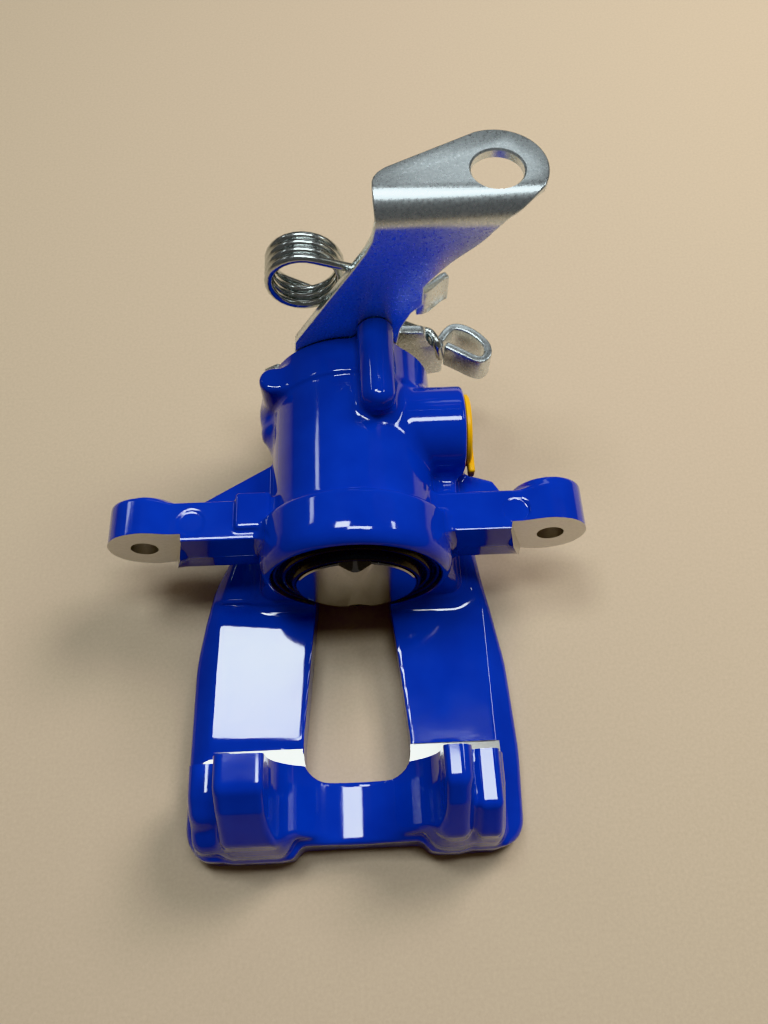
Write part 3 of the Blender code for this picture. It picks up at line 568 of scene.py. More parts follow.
def add_bosses(field):
    """Bolt rib, side boss and lug, hose port and bleed boss on the cylinder."""
    back = REAR_FACE + 3
    foot = [(RIB_X - 5.4, 16), (RIB_X - 4.4, RIB_Z), (RIB_X + 4.4, RIB_Z), (RIB_X + 5.4, 16)]
    field.add(slab(foot, RIB_FRONT + 4.0, back, plane="XZ", edge=2.6), 4.5)
    field.add(bar((RIB_X, RIB_FRONT + 1.5, RIB_Z - 0.6), (RIB_X, back, RIB_Z), 4.3, RIB_R, edge=4.0), 3.0)
    field.add(bar((SIDE_X, 57, SIDE_Z), (SIDE_X, back, SIDE_Z), SIDE_R, edge=1.5), 3.0)
    field.add(bar((SIDE_X + 4, 46, SIDE_Z), (SIDE_X, 58, SIDE_Z), 3.0, SIDE_R, edge=1.5), 3.0)
    lug = arc(LUG_X, LUG_Y, LUG_R, 90, 270, 17) + [(-12, LUG_Y - LUG_R), (-12, LUG_Y + LUG_R)]
    field.add(slab(lug, LUG_LOW, LUG_TOP, edge=1.7), 2.4)
    field.add(bar((4, PORT_Y, PORT_Z), (PORT_FACE + 0.3, PORT_Y, PORT_Z), PORT_R, edge=1.5), 2.6)
    field.add(slab([(20, 24), (34, 24), (34.5, 50), (29, 60), (20, 60)], -8, 4, edge=2.0), 3.5)
    field.add(bar((BLEED_X, BLEED_Y, BLEED_LOW - 0.4), (BLEED_X, BLEED_Y, 0), BLEED_BOSS_R, edge=1.0), 3.0)


def add_arms(field):
    """The two arms with the ears at their ends, a faint round mark on each and a gusset behind it."""
    section = [(ARM_FRONT, 0), (ARM_FRONT + 1.3, ARM_LOW), (ARM_BACK - 1.2, ARM_LOW), (ARM_BACK, 0),
               (ARM_BACK - 1.0, ARM_TOP), (ARM_FRONT + 1.2, ARM_TOP)]
    for side, x in EARS.items():
        inner = math.copysign(ARM_ROOT, x)
        field.add(slab(section, min(inner, x), max(inner, x), plane="YZ", edge=2.2), 2.6)
        field.add(bar((x, ARM_FRONT, 0), (x, EAR_BACKS[side], 0), EAR_R, edge=1.0), 3.5)
        spot = inner + math.copysign(MARK_REACH, x)
        field.carve(bar((spot, MARK_Y, ARM_TOP - MARK_DEPTH), (spot, MARK_Y, ARM_TOP + 4), MARK_R,
                        edge=0.1), 0.3)
    for gusset in ([(-61, 27), (-20, 27), (-20, 50), (-27, 47)],
                   [(22, 27), (53, 27), (47, 37), (31, 42.5), (22, 46)]):
        field.add(slab(gusset, GUSSET_LOW, GUSSET_TOP, edge=1.2), 2.0)
    field.add(block((-37.4, 16.4, 2.0), (-26.2, 29.2, ARM_TOP + 1.4), edge=1.0), 0.8)


def window_cutter():
    window = round_corners([(-13.9, 14, 2), (-19.2, -44, 40), (-18.6, -55.2, 8), (14.2, -55.2, 8),
                            (15.4, -44, 40), (9.8, 14, 2)], 8)
    return slab(window, BACK_Z - 3, BRIDGE_TOP + 6, edge=0.2)


def build_casting(paint, bare):
    field = Field((-83, -82, -42.5), (79, 83, 42), GRID)
    add_bridge(field)
    add_fingers(field)
    add_cylinder(field)
    add_arms(field)
    add_bosses(field)
    field.carve(window_cutter(), 0.25)
    field.carve(block((-90, -90, -50), (90, 90, BACK_Z), edge=0.3), 0.4)
    points, quads = field.surface()
    surface = bpy.data.meshes.new("surface")
    surface.from_pydata((points * MM).tolist(), [], quads.tolist())
    bm = bmesh.new()
    bm.from_mesh(surface)
    bpy.data.meshes.remove(surface)
    casting = from_bmesh("caliper_casting", bm)
    machine_casting(casting)
    dress(casting, 40, "housing", "blue_paint", "caliper_housing", paint, bare)
    mark_bare(casting)


def ear_mill(name, x, lean):
    """The cutter of an ear's face. Its wall towards the arm leans by lean over the cut's depth."""
    inward = math.copysign(1.0, -x)
    wall = [(14.1, 16), (13.6, 9), (11.4, 0), (8.6, -9), (7.0, -16)]
    outline = [(x + inward * across, z) for across, z in wall + [(-20, -16), (-20, 16)]]
    tool = plate(name, outline, EAR_FACE - 6, EAR_FACE, "XZ")
    for vert in tool.data.vertices:
        if vert.co.y < (EAR_FACE - 3) * MM and (vert.co.x / MM - x) * inward > 0:
            vert.co.x += inward * lean * MM
    return tool


def machine_casting(casting):
    """Bores, holes and milled faces."""
    bore = turned("bore", [(0, -20), (BOOT_GROOVE_R + 1, -20), (BOOT_GROOVE_R + 1, 1.6),
                           (BOOT_GROOVE_R, 2.6), (BOOT_GROOVE_R, BOOT_GROOVE_END),
                           (BORE_R + 0.8, BOOT_GROOVE_END), (BORE_R, BOOT_GROOVE_END + 0.8),
                           (BORE_R, SEAL_GROOVE[0]), (SEAL_GROOVE_R, SEAL_GROOVE[0]),
                           (SEAL_GROOVE_R, SEAL_GROOVE[1]), (BORE_R, SEAL_GROOVE[1]),
                           (BORE_R, CAGE_GROOVE[0]), (CAGE_GROOVE_R, CAGE_GROOVE[0]),
                           (CAGE_GROOVE_R, CAGE_GROOVE[1]), (BORE_R, CAGE_GROOVE[1]),
                           (BORE_R, BORE_END), (SHAFT_BORE_R, BORE_END),
                           (SHAFT_BORE_R, SHAFT_SEAL_FRONT), (SHAFT_SEAL_R, SHAFT_SEAL_FRONT),
                           (SHAFT_SEAL_R, REAR_FACE + 6), (0, REAR_FACE + 6)])
    tools = [
        bore,
        cuboid("rear_mill", (-45, REAR_FACE, -45), (45, REAR_FACE + 8, 45)),
        rod("port_bore", (PORT_FACE - 14, PORT_Y, PORT_Z), (PORT_FACE + 3, PORT_Y, PORT_Z), PORT_BORE_R),
        rod("bleed_mill", (BLEED_X, BLEED_Y, BLEED_LOW - 6), (BLEED_X, BLEED_Y, BLEED_LOW), BLEED_MILL_R),
        rod("bleed_bore", (BLEED_X, BLEED_Y, BLEED_LOW - 3), (BLEED_X, BLEED_Y, -6), BLEED_BORE_R),
        along_y("upper_bolt_bore", BOLT_HOLE_R, 58, REAR_FACE + 6, RIB_X, RIB_Z),
        along_y("side_bolt_bore", BOLT_HOLE_R, 58, REAR_FACE + 6, SIDE_X, SIDE_Z),
        cuboid("finger_mill", (-60, FINGER_FACE, BRIDGE_TOP - LEDGE_DEPTH), (60, LEDGE_EDGE, 12)),
    ]
    for name, x in EARS.items():
        tools.append(along_y(name + "_ear_hole", EAR_HOLE_R, 6, 35, x, 0))
        tools.append(ear_mill(name + "_ear_mill", x, EAR_WALL_LEAN[name]))
    for i, degrees in enumerate((60.0, 240.0)):
        a = math.radians(degrees)
        tools.append(along_y("pin_bore_%d" % i, PIN_HOLE_R, BORE_END - 2, 68,
                             PIN_PCD_R * math.cos(a), PIN_PCD_R * math.sin(a), sides=24))
    boolean(casting, tools, "DIFFERENCE")


def mark_bare(casting):
    """Milled planes and bored holes get the second slot, bare metal."""
    mesh = casting.data
    count = len(mesh.polygons)
    centre, normal = np.zeros(count * 3), np.zeros(count * 3)
    mesh.polygons.foreach_get("center", centre)
    mesh.polygons.foreach_get("normal", normal)
    x, y, z = (centre.reshape(-1, 3) / MM).T
    nx, ny, nz = normal.reshape(-1, 3).T
    near = 0.03
    from_axis, from_bleed = np.hypot(x, z), np.hypot(x - BLEED_X, y - BLEED_Y)
    bare = (abs(y - REAR_FACE) < near) & (ny > 0.99)
    bare |= (from_axis < BOOT_GROOVE_R + near) & (y > 2.6) & (y < BOOT_GROOVE_END + near)
    bare |= (from_axis < SEAL_GROOVE_R + near) & (y > 2.6) & (y < REAR_FACE + near)
    bare |= (abs(y - FINGER_FACE) < near) & (ny > 0.99)
    bare |= (abs(y - LEDGE_EDGE) < near) & (ny < -0.99)
    bare |= (abs(z - BRIDGE_TOP + LEDGE_DEPTH) < near) & (nz > 0.99) & (y < LEDGE_EDGE)
    bare |= (abs(z - BLEED_LOW) < near) & (from_bleed < BLEED_MILL_R)
    bare |= (from_bleed < BLEED_BORE_R + near) & (abs(z + 14) < 8.5)
    bare |= (np.hypot(y - PORT_Y, z - PORT_Z) < PORT_BORE_R + near) & (x > PORT_FACE - 15)
    for hole_x, hole_z in ((RIB_X, RIB_Z), (SIDE_X, SIDE_Z)):
        bare |= (np.hypot(x - hole_x, z - hole_z) < BOLT_HOLE_R + near) & (y > 57)
    for ear in EARS.values():
        side = math.copysign(1.0, ear)
        close = abs(x - ear) < 17
        bare |= close & (abs(y - EAR_FACE) < near) & (ny < -0.99)
        wall = (nx * side > 0.25) & ((x - ear) * side < -6)
        bare |= close & (abs(z) < EAR_R + 1) & (y > 9.5) & (y < EAR_FACE) & wall
        bare |= np.hypot(x - ear, z) < EAR_HOLE_R + near
    mesh.polygons.foreach_set("material_index", bare.astype(np.int32))


# ---------------------------------------------------------------- fitted pieces
def prism(name, outline, way, back, front):
    """An XZ outline carried along a slanting way."""
    bm = bmesh.new()
    way = Vector(way).normalized()
    rings = []
    for reach in (back, front):
        rings.append([bm.verts.new((Vector((x, 0, z)) + way * reach) * MM) for x, z in outline])
    bm.faces.new(rings[0])
    bm.faces.new(rings[1])
    for i in range(len(outline)):
        j = (i + 1) % len(outline)
        bm.faces.new((rings[0][i], rings[0][j], rings[1][j], rings[1][i]))
    return from_bmesh(name, bm)


def build_piston(mat):
    """Steel cup with its two rewind notches."""
    groove_front, groove_back = 18.9, 20.5
    profile = [(0, 0), (PISTON_R - 0.45, 0), (PISTON_R, 0.45),
               (PISTON_R, 3.4), (17.9, 3.6), (17.6, 3.9), (17.6, 6.2), (17.9, 6.5), (PISTON_R, 6.7),
               (PISTON_R, PISTON_END - 0.8), (PISTON_R - 0.6, PISTON_END), (PISTON_HOLLOW_R, PISTON_END),
               (PISTON_HOLLOW_R, groove_back), (15.3, groove_back), (15.3, groove_front),
               (PISTON_HOLLOW_R, groove_front), (PISTON_HOLLOW_R, PISTON_CROWN), (0, PISTON_CROWN)]
    piston = turned("piston_cup", profile)
    depth, half, low, steps = 7.0, 6.6, 12.0, 24
    valley = [(half * k / steps, low + depth * (1 - math.cos(math.pi * abs(k) / steps)) / 2)
              for k in range(-steps, steps + 1)]
    above = PISTON_R + 5
    tilt = math.radians(66.0)
    notch = prism("top_notch", valley + [(half, above), (-half, above)],
                  (0, math.sin(tilt), math.cos(tilt)), -4, 4.4)
    foot = along_y("foot_notch", 6.0, -3, 2.6, 0, -PISTON_R - 3.4)
    boolean(piston, [notch, foot], "DIFFERENCE")
    rounded_edges(piston, 0.35, 3, 35)
    dress(piston, 12, "piston", "bright_steel", "piston", mat)


def build_boot(mat):
    """Rubber bellows from the collar's groove to the piston's."""
    outer = [(26.9, 8.6), (26.9, 4.6), (26.6, 3.7), (26.0, 3.3), (25.4, 3.7), (25.0, 4.6), (24.6, 5.2),
             (24.2, 5.0), (23.8, 3.9), (23.3, 3.0), (22.7, 2.8), (22.2, 3.3), (21.8, 4.3), (21.4, 4.7),
             (21.0, 4.3), (20.7, 2.6), (20.3, 1.2), (19.7, 0.6), (19.15, 0.9), (19.15, 3.7), (18.0, 3.9),
             (18.0, 6.0), (19.2, 6.3), (19.9, 5.4)]
    inner = [(20.6, 5.6), (21.4, 6.1), (22.2, 5.7), (22.6, 4.6), (23.0, 4.3), (23.4, 5.2), (24.0, 6.4),
             (24.7, 6.7), (25.4, 6.0), (25.8, 5.1), (26.1, 5.0), (26.2, 6.0), (26.2, 8.6)]
    boot = turned("dust_boot_bellows", outer + inner)
    dress(boot, 75, None, "black_rubber", "dust_boot", mat)
    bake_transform(boot)


def unfolded(z):
    """Where a height on the upright plate lies along the flat blank, from the bend's start."""
    return z - (FLANGE_TOP - BEND_R) - BEND_LENGTH


def bracket_blank():
    """The bracket's outline before bending: X across, and along from the bend up the flange."""
    cx, cy, end_r = FLANGE_END
    flange = [(8.9, 0.0), (8.9, 1.6), (9.4, 3.4), (10.6, 5.2), (12.8, 7.0)]
    flange += [(x, y - FRONT_OF_FLANGE) for x, y in arc(cx, cy, end_r, 110, -30, 31)]
    right = smooth_path([(56.5, -1.7, 0), (52.7, -4.8, 0), (49.5, -7.2, 0), (46.0, -9.2, 0), (43.4, -12.0, 0),
                         (39.6, unfolded(67.4), 0), (31.8, unfolded(60.0), 0), (25.6, unfolded(52.2), 0)], 4)
    right = [(p.x, p.y) for p in right[1:]]
    notch = round_corners([(24.2, 50.0, 0), (24.2, 42.2, 2.5), (20.6, 38.4, 2.5), (17.4, 30.9, 6),
                           (15.8, 20.0, 0)], 5)
    foot = arc(0, 0, 15.5, 55, 190, 25) + [(-19.0, -5.0)]
    foot += arc(SIDE_X, SIDE_Z, 6.5, -50, -230, 15)
    foot += [(-24.0, 7.5), (-18.6, 15.0), (-17.2, 26.0), (2.6, 58.5), (6.4, 65.0), (8.4, 69.6)]
    lower = [(x, unfolded(z)) for x, z in notch + foot]
    return flange + right + lower + [(9.4, -9.0), (9.0, -4.0)]


def bend_blank(blank, steps=20):
    """Folds the flat blank over the bend, with the flange to the rear."""
    bm = bmesh.new()
    bm.from_mesh(blank.data)
    for i in range(steps + 1):
        line = Vector((0, -BEND_LENGTH * i / steps * MM, 0))
        bmesh.ops.bisect_plane(bm, geom=bm.verts[:] + bm.edges[:] + bm.faces[:], plane_co=line,
                               plane_no=(0, 1, 0), dist=0.001 * MM)
    for vert in bm.verts:
        x, along, depth = vert.co / MM
        radius = BEND_R - depth
        turn = min(max(-along / BEND_LENGTH, 0), 1) * math.pi / 2
        y = FRONT_OF_FLANGE - radius * math.sin(turn) + max(along, 0)
        z = FLANGE_TOP - BEND_R + radius * math.cos(turn) + min(along + BEND_LENGTH, 0)
        vert.co = Vector((x, y, z)) * MM
    bmesh.ops.recalc_face_normals(bm, faces=bm.faces)
    bm.to_mesh(blank.data)
    bm.free()


def offset_strip(centre, width):
    """A closed outline of even width along a line of points."""
    left, right = [], []
    for i, point in enumerate(centre):
        way = (centre[min(i + 1, len(centre) - 1)] - centre[max(i - 1, 0)]).normalized()
        side = Vector((-way.y, way.x)) * (width / 2)
        left.append((point.x + side.x, point.y + side.y))
        right.append((point.x - side.x, point.y - side.y))
    return left + right[::-1]


def build_bracket(mat):
    """Pressed plate with rounded sheared edges, its folded flange and its small rear tab."""
    bracket = plate("cable_bracket_plate", bracket_blank(), 0.0, BRACKET_T)
    rounded_edges(bracket, 0.55, 3, 60)
    bend_blank(bracket)
    line = smooth_path([(22.0, 78.0, 0), (25.0, 78.6, 0), (29.6, 82.8, 0), (32.0, 84.2, 0)], 5)
    tab = plate("bracket_tab", offset_strip(line, 2.6), 37.0, 47.0)
    rounded_edges(tab, 0.4, 2, 60)
    boolean(bracket, [tab], "UNION")
    x, y = FLANGE_HOLE
    under = FLANGE_TOP - BRACKET_T
    tools = [rod("cable_hole", (x, y, 70), (x, y, 90), FLANGE_HOLE_R),
             rod("hole_rim_top", (x, y, FLANGE_TOP - 0.6), (x, y, FLANGE_TOP + 0.6), FLANGE_HOLE_R - 0.1,
                 FLANGE_HOLE_R + 1.1),
             rod("hole_rim_low", (x, y, under - 0.6), (x, y, under + 0.5), FLANGE_HOLE_R + 1.0,
                 FLANGE_HOLE_R - 0.1)]
    for px, pz in ((RIB_X, RIB_Z), (SIDE_X, SIDE_Z)):
        tools.append(along_y("bolt_hole", BOLT_HOLE_R, 70, 90, px, pz))
    boolean(bracket, tools, "DIFFERENCE")
    dress(bracket, 32, "housing", "zinc_plate", "cable_bracket", mat)


def build_bolts(mat):
    """Hexagon bolts with washer flanges."""
    seat = BRACKET_FRONT + BRACKET_T
    for name, x, z in (("upper", RIB_X, RIB_Z), ("side", SIDE_X, SIDE_Z)):
        bolt = along_y("bolt_" + name, BOLT_FLATS / math.sqrt(3), seat + 0.9, seat + BOLT_HEAD + 0.4,
                       x, z, 6)
        rounded_edges(bolt, 0.45, 2, 30)
        rim = BOLT_FLATS * 0.66
        profile = [(0, 0.05), (rim, 0.05), (rim + 0.25, 0.4), (rim, 0.8), (rim - 1.2, 1.2), (0, 1.2)]
        washer = turned("washer_" + name, [(radius, seat + y) for radius, y in profile], 48, x, z)
        shank = along_y("shank_" + name, 3.0, 60, seat + 1, x, z, 32)
        boolean(bolt, [washer, shank], "UNION")
        dress(bolt, 32, "housing", "zinc_plate", "bracket_bolt_" + name, mat)


def build_lever(mat):
    """Lever plate with the strip that curls into the cable hook, its nut and the shaft's thread."""
    outline = arc(0, 0, 12.5, 100, 285, 33)
    outline += round_corners([(14, -10.5, 6), (24, -8.5, 6), (33.5, -7.0, 1.5), (33.5, 8.6, 1.2),
                              (29.0, 9.2, 1), (27.2, 12.5, 2), (26.6, 16.2, 2), (18.0, 16.8, 3),
                              (9, 15.5, 4)], 5)
    lever = plate("lever_arm", outline, LEVER_FRONT, LEVER_FRONT + LEVER_T, "XZ")
    rounded_edges(lever, 0.5, 3, 50)
    centre = [(27.0, 87.8, 0), (32.0, 89.6, 0), (34.8, 93.2, 0), (37.4, 95.4, 0), (40.6, 95.2, 0),
              (44.0, 93.2, 0), (47.0, 90.2, 0), (49.0, 86.8, 0), (49.0, 83.2, 0), (47.0, 80.9, 0),
              (44.2, 81.4, 0), (39.6, 84.4, 0), (34.4, 87.8, 0)]
    strip = offset_strip(smooth_path(centre, 5), 2.8)
    hook = plate("hook", strip, HOOK_LOW, HOOK_TOP)
    rounded_edges(hook, 0.6, 3, 50)
    boolean(lever, [hook], "UNION")
    boolean(lever, [along_y("lever_hole", SHAFT_NOSE_R + 0.3, 80, 95)], "DIFFERENCE")
    dress(lever, 32, "lever", "zinc_plate", "parking_brake_lever", mat)
    nut = along_y("shaft_nut", 16.0 / math.sqrt(3), 91.7, 97.7, sides=6)
    rounded_edges(nut, 0.6, 2, 30)
    boolean(nut, [along_y("nut_hole", SHAFT_NOSE_R + 0.3, 88, 102)], "DIFFERENCE")
    dress(nut, 32, "lever", "zinc_plate", "lever_nut", mat)
    ridges = [(4.6, 98.0)]
    for k in range(9):
        ridges += [(5.22, 97.8 - k * 0.75), (5.22, 97.6 - k * 0.75), (4.9, 97.3 - k * 0.75)]
    thread = turned("shaft_thread", ridges + [(4.6, 91.0)], 48)
    dress(thread, 20, "lever", "zinc_plate", None, mat)


def build_return_spring(mat):
    """Torsion coil with one leg behind the bracket and the other hooked over the lever."""
    steps = 28
    total = int(SPRING_TURNS * steps)
    start = Vector((SPRING_X + SPRING_R * math.cos(SPRING_START), SPRING_FRONT,
                    SPRING_Z + SPRING_R * math.sin(SPRING_START)))
    out = Vector((math.sin(SPRING_START), 0, -math.cos(SPRING_START)))
    path = [start + out * reach for reach in (15.5, 12, 8, 4, 1.5)]
    for i in range(total + 1):
        a = SPRING_START + 2 * math.pi * SPRING_TURNS * i / total
        path.append(Vector((SPRING_X + SPRING_R * math.cos(a), SPRING_FRONT + (SPRING_BACK - SPRING_FRONT)
                            * i / total, SPRING_Z + SPRING_R * math.sin(a))))
    leg = [path[-1], (20.0, 91.3, 14.6), (25.6, 91.2, 11.6), (28.6, 90.4, 11.2), (30.2, 88.0, 11.0),
           (31.0, 85.4, 9.8), (31.7, 84.6, 7.0), (32.4, 84.6, 4.2)]
    path += smooth_path(leg, 7)[1:]
    spring = wire("return_spring", path, SPRING_WIRE)
    dress(spring, 60, None, "zinc_plate", "lever_return_spring", mat)
    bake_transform(spring)


def build_ramp_spring(mat):
    """Compression spring between the fixed cage and the push plate."""
    front, back, turns, steps = 29.6, 46.2, 5, 24
    path = []
    for i in range(turns * steps + 1):
        a = 2 * math.pi * i / steps
        path.append((9.6 * math.cos(a), front + (back - front) * i / (turns * steps), 9.6 * math.sin(a)))
    spring = wire("ramp_spring_coil", path, 1.1, 12)
    dress(spring, 60, None, "spring_steel", "ramp_return_spring", mat)
    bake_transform(spring)


def build_port_plug(mat):
    """Yellow transport plug: a rimmed disc on a stem, with a pull tab."""
    face = PORT_FACE + 0.3
    disc = [(0, -11), (4.6, -11), (5.3, -10), (5.3, 0), (11.4, 0), (12.0, 0.5), (12.0, 1.5), (11.5, 2.0),
            (10.4, 2.0), (9.8, 1.4), (3.0, 1.4), (2.4, 1.9), (0, 1.9)]
    plug = turned("transport_plug", [(radius, face + out) for radius, out in disc], 80)
    plug.data.transform(Matrix.Translation((0, PORT_Y * MM, PORT_Z * MM))
                        @ Matrix.Rotation(-math.pi / 2, 4, "Z"))
    tab = cuboid("plug_tab", (face + 1.0, 36.2, PORT_Z - 5.5), (face + 3.2, PORT_Y - 5, PORT_Z - 1.0))
    rounded_edges(tab, 0.8, 3, 30)
    boolean(plug, [tab], "UNION")
    dress(plug, 35, "port_plug", "yellow_plastic", "port_plug", mat)


def build_bleeder(metal, soft):
    """Bleed screw with its hexagon and barbed nipple, and the rubber cap on it."""
    seat = BLEED_LOW - 0.3
    down = Matrix.Translation((BLEED_X * MM, BLEED_Y * MM, 0)) @ Matrix.Rotation(-math.pi / 2, 4, "X")
    base = -seat
    profile = [(0, 8.2), (2.2, 8.2), (BLEED_THREAD_R, 10.5)]
    profile += [(BLEED_THREAD_R - 0.35 * (k % 2), 10.8 + 0.5 * k) for k in range(int((base - 10.8) / 0.5))]
    profile += [(BLEED_THREAD_R, base), (3.4, base + 4.8), (2.4, base + 5.4), (2.2, base + 8.0),
                (2.6, base + 8.6), (2.6, base + 9.2), (1.9, base + 11.0), (0, base + 11.0)]
    screw = turned("bleed_nipple", profile, 48)
    hexagon = along_y("bleed_hexagon", 5.6, base, base + 5, sides=6)
    rounded_edges(hexagon, 0.5, 2, 30)
    boolean(screw, [hexagon], "UNION")
    screw.data.transform(down)
    dress(screw, 32, "bleed_screw", "zinc_plate", "bleed_screw", metal)
    top = base + 5.3
    shell = [(3.0, 0), (3.9, 0), (4.2, 0.5), (4.2, 2.0), (3.8, 2.4), (3.8, 6.6), (3.2, 8.0), (1.8, 8.5),
             (0, 8.5), (0, 6.9), (3.0, 6.6)]
    cap = turned("bleed_cap_rubber", [(radius, top + y) for radius, y in shell], 48)
    cap.data.transform(down)
    dress(cap, 40, "bleed_screw", "black_rubber", "bleed_cap", soft)


# ---------------------------------------------------------------- materials
class Nodes:
    """A short way to write a material's node tree."""

    def __init__(self, name, color, roughness, metallic=0.0, **sockets):
        self.material = bpy.data.materials.new(name)
        self.material.use_nodes = True
        self.tree = self.material.node_tree
        self.shader = self.tree.nodes["Principled BSDF"]
        self.shader.inputs["Base Color"].default_value = (*color, 1)
        self.shader.inputs["Roughness"].default_value = roughness
        self.shader.inputs["Metallic"].default_value = metallic
        for socket, value in sockets.items():
            self.shader.inputs[socket.replace("_", " ")].default_value = value
        self.place = self.tree.nodes.new("ShaderNodeTexCoord").outputs["Object"]

    def node(self, kind, **settings):
        made = self.tree.nodes.new("ShaderNode" + kind)
        for key, value in settings.items():
            if hasattr(made, key):
                setattr(made, key, value)
            else:
                made.inputs[key.replace("_", " ")].default_value = value
        return made

    def link(self, output, target):
        self.tree.links.new(output, target)

    def noise(self, scale, detail=3.0, rough=0.5, stretch=(1, 1, 1)):
        mapping = self.node("Mapping")
        mapping.inputs["Scale"].default_value = stretch
        self.link(self.place, mapping.inputs["Vector"])
        noise = self.node("TexNoise", Scale=scale, Detail=detail, Roughness=rough)
        self.link(mapping.outputs["Vector"], noise.inputs["Vector"])
        return noise.outputs["Fac"]

    def ramp(self, value, *stops):
        ramp = self.node("ValToRGB")
        elements = ramp.color_ramp.elements
        while len(elements) < len(stops):
            elements.new(0.5)
        for element, (place, color) in zip(elements, stops):
            element.position = place
            element.color = (*color, 1) if len(color) == 3 else color
        self.link(value, ramp.inputs["Fac"])
        return ramp.outputs["Color"]

    def gray(self, value, low, high, first=0.0, last=1.0):
        change = self.node("MapRange")
        for name, number in (("From Min", low), ("From Max", high), ("To Min", first), ("To Max", last)):
            change.inputs[name].default_value = number
        self.link(value, change.inputs["Value"])
        return change.outputs["Result"]

    def bump(self, height, strength, distance, normal=None):
        bump = self.node("Bump", Strength=strength, Distance=distance)
        self.link(height, bump.inputs["Height"])
        if normal is not None:
            self.link(normal, bump.inputs["Normal"])
        return bump.outputs["Normal"]

    def to_shader(self, socket, output):
        self.link(output, self.shader.inputs[socket])


def blue_paint():
    n = Nodes("blue_paint", (0.008, 0.034, 0.40), 0.16, Coat_Weight=0.6, Coat_Roughness=0.06,
              Specular_IOR_Level=0.5)
    broad = n.noise(60, 3.0)
    n.to_shader("Base Color", n.ramp(broad, (0.3, (0.006, 0.028, 0.36)), (0.7, (0.010, 0.040, 0.44))))
    peel = n.noise(420, 2.0)
    cast = n.noise(130, 4.0, 0.6)
    normal = n.bump(cast, 0.05, 0.0004)
    n.to_shader("Normal", n.bump(peel, 0.03, 0.0002, normal))
    n.to_shader("Roughness", n.gray(n.noise(90, 4.0), 0.3, 0.75, 0.07, 0.14))
    return n.material


def bare_aluminium():
    n = Nodes("machined_aluminium", (0.80, 0.80, 0.78), 0.28, 1.0)
    grain = n.noise(900, 3.0, 0.6, stretch=(1, 6, 6))
    n.to_shader("Base Color", n.ramp(grain, (0.3, (0.64, 0.62, 0.59)), (0.7, (0.78, 0.76, 0.73))))
    n.to_shader("Roughness", n.gray(grain, 0.3, 0.7, 0.36, 0.54))
    n.to_shader("Normal", n.bump(grain, 0.15, 0.0001))
    return n.material


def zinc():
    """Bright zinc with its fine crystals and speckle."""
    n = Nodes("zinc_plate", (0.72, 0.75, 0.74), 0.22, 1.0)
    speckle = n.noise(1300, 3.0, 0.7)
    crystal = n.node("TexVoronoi", Scale=900.0)
    n.link(n.place, crystal.inputs["Vector"])
    n.to_shader("Base Color", n.ramp(speckle, (0.3, (0.66, 0.72, 0.75)), (0.7, (0.88, 0.93, 0.95))))
    n.to_shader("Roughness", n.gray(n.noise(1100, 2.0, 0.6), 0.3, 0.75, 0.25, 0.35))
    normal = n.bump(crystal.outputs["Distance"], 0.012, 0.0001)
    n.to_shader("Normal", n.bump(n.noise(350, 3.0), 0.012, 0.0002, normal))
    return n.material


def steel(name, color, rough, stretch):
    n = Nodes(name, color, rough, 1.0)
    grain = n.noise(1200, 3.0, 0.6, stretch=stretch)
    dark = tuple(c * 0.85 for c in color)
    n.to_shader("Base Color", n.ramp(grain, (0.3, dark), (0.7, color)))
    n.to_shader("Roughness", n.gray(grain, 0.3, 0.75, rough * 0.7, rough * 1.4))
    n.to_shader("Normal", n.bump(grain, 0.05, 0.0001))
    return n.material


def rubber():
    n = Nodes("black_rubber", (0.012, 0.012, 0.014), 0.26, Specular_IOR_Level=0.5)
    fine = n.noise(900, 3.0, 0.6)
    n.to_shader("Base Color", n.ramp(n.noise(150, 3.0), (0.3, (0.010, 0.010, 0.012)),
                                     (0.75, (0.024, 0.024, 0.027))))
    n.to_shader("Roughness", n.gray(fine, 0.3, 0.75, 0.18, 0.34))
    n.to_shader("Normal", n.bump(fine, 0.05, 0.0001))
    return n.material


def yellow_plastic():
    n = Nodes("yellow_plastic", (0.86, 0.46, 0.01), 0.38, Subsurface_Weight=0.1)
    n.shader.inputs["Subsurface Radius"].default_value = (0.002, 0.001, 0.0004)
    n.to_shader("Base Color", n.ramp(n.noise(160, 3.0), (0.3, (0.80, 0.40, 0.006)),
                                     (0.75, (0.90, 0.50, 0.02))))
    n.to_shader("Roughness", n.gray(n.noise(500, 3.0), 0.3, 0.75, 0.3, 0.48))
    n.to_shader("Normal", n.bump(n.noise(700, 2.0), 0.05, 0.0001))
    return n.material


def floor_material():
    n = Nodes("floor", (0.57, 0.452, 0.328), 0.75)
    fleck = n.noise(900, 4.0, 0.7)
    n.to_shader("Base Color", n.ramp(fleck, (0.3, (0.54, 0.426, 0.306)), (0.7, (0.60, 0.478, 0.350))))
    n.to_shader("Normal", n.bump(n.noise(160, 4.0, 0.7), 0.05, 0.0005))
    return n.material


# ---------------------------------------------------------------- stage
# Lights are in metres and watts.
CEILING = 1.25
KEY_PLACE, KEY_SIZE, KEY_POWER = Vector((0.50, 0.45, 0.70)), (0.35, 0.35), 5.5
PANEL_COLOR, KEY_COLOR = (0.90, 0.99, 1.0), (1.0, 0.98, 0.95)
ROOM_COLOR, ROOM_STRENGTH = (0.80, 0.78, 0.76), 0.16
CAMERA_PLACE, CAMERA_ELEVATION, CAMERA_YAW = Vector((4.5, -94.3, 244)), 63.75, 2.5
SENSOR_WIDTH, LENS = 36.0, 29.0


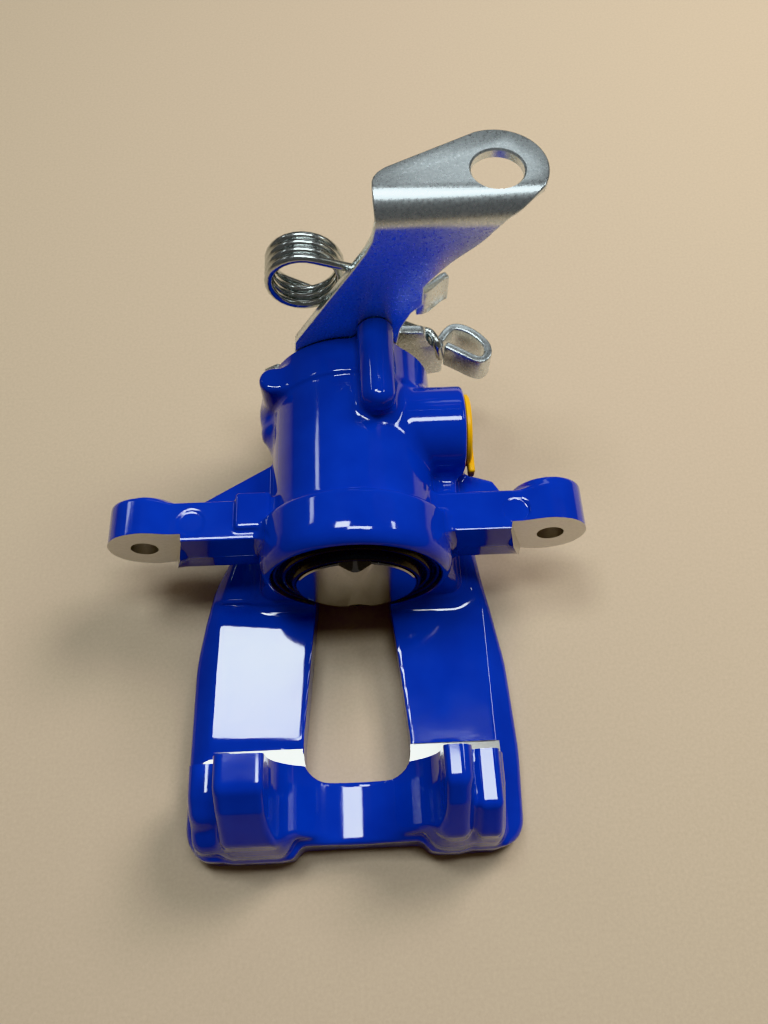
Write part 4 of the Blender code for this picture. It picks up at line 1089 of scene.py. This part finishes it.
def add_light(name, place, size, turn, power, color=PANEL_COLOR):
    data = bpy.data.lights.new(name, "AREA")
    data.shape = "RECTANGLE"
    data.size, data.size_y = size
    data.energy = power
    data.color = color
    light = bpy.data.objects.new(name, data)
    bpy.context.scene.collection.objects.link(light)
    light.location = place
    light.rotation_euler = turn
    return light


def build_stage(low_z):
    """Plain pale floor, soft panels on the ceiling, a key light from the right and a dim room."""
    bm = bmesh.new()
    bmesh.ops.create_grid(bm, x_segments=1, y_segments=1, size=3.0)
    floor = from_bmesh("floor", bm)
    floor.location.z = low_z
    floor.data.materials.append(floor_material())
    lights = [
        ("ceiling_panel", (-0.28, 0.325), (0.34, 0.25), -4, 4.6),
        ("front_panel", (0.145, 0.085), (0.58, 0.16), 0, 4.6),
        ("left_tube", (-1.48, 1.07), (0.26, 0.36), 0, 1.6),
        ("right_tube", (1.25, 0.47), (0.16, 0.50), 0, 3.0),
        ("rear_window", (0.3, 1.60), (0.9, 0.4), 0, 1.6),
    ]
    for name, place, size, yaw, power in lights:
        add_light(name, (*place, CEILING), size, (0, 0, math.radians(yaw)), power)
    aim = (-KEY_PLACE).to_track_quat("-Z", "Y").to_euler()
    add_light("key_light", KEY_PLACE, KEY_SIZE, aim, KEY_POWER, KEY_COLOR).visible_glossy = False
    world = bpy.data.worlds.new("room")
    bpy.context.scene.world = world
    world.use_nodes = True
    background = world.node_tree.nodes["Background"]
    background.inputs["Color"].default_value = (*ROOM_COLOR, 1)
    background.inputs["Strength"].default_value = ROOM_STRENGTH
    bpy.context.scene.view_settings.view_transform = "Khronos PBR Neutral"


def build_camera():
    data = bpy.data.cameras.new("camera")
    data.sensor_width, data.lens = SENSOR_WIDTH, LENS
    data.clip_start = 0.01
    camera = bpy.data.objects.new("camera", data)
    bpy.context.scene.collection.objects.link(camera)
    elevation, yaw = math.radians(CAMERA_ELEVATION), math.radians(CAMERA_YAW)
    forward = Vector((math.sin(yaw) * math.cos(elevation), math.cos(yaw) * math.cos(elevation),
                      -math.sin(elevation)))
    right = Vector((math.cos(yaw), -math.sin(yaw), 0))
    up = right.cross(forward)
    turn = Matrix((right, up, -forward)).transposed()
    camera.matrix_world = Matrix.Translation(CAMERA_PLACE * MM) @ turn.to_4x4()
    bpy.context.scene.camera = camera


PAINT = blue_paint()
BARE = bare_aluminium()
ZINC = zinc()
STEEL = steel("bright_steel", (0.43, 0.42, 0.41), 0.15, (1, 1, 1))
DARK = steel("hardened_steel", (0.42, 0.42, 0.43), 0.3, (1, 1, 8))
WIRE = steel("zinc_wire", (0.66, 0.69, 0.68), 0.2, (1, 1, 1))
SPRING = steel("spring_steel", (0.55, 0.57, 0.58), 0.25, (1, 1, 8))
BRONZE = steel("bronze", (0.62, 0.42, 0.20), 0.3, (1, 1, 8))
RUBBER = rubber()
YELLOW = yellow_plastic()
BY_SLOT = {"blue_paint": PAINT, "bright_steel": STEEL, "hardened_steel": DARK, "zinc_plate": ZINC,
           "spring_steel": SPRING, "bronze": BRONZE, "black_rubber": RUBBER,
           "yellow_plastic": YELLOW}


def dress_frame():
    """Every CAD node that is still shown takes the finish of its own slot."""
    for part in frame["record"]["subparts"]:
        node = frame["nodes"][part["node"]]
        node.data.materials.clear()
        node.data.materials.append(BY_SLOT[part["material_slot"]])
        shade(node, 30)


build_stage(BACK_Z * MM)
build_camera()
dress_frame()
build_casting(PAINT, BARE)
build_piston(STEEL)
build_boot(RUBBER)
build_bracket(ZINC)
build_bolts(ZINC)
build_lever(ZINC)
build_return_spring(WIRE)
build_ramp_spring(SPRING)
build_port_plug(YELLOW)
build_bleeder(ZINC, RUBBER)
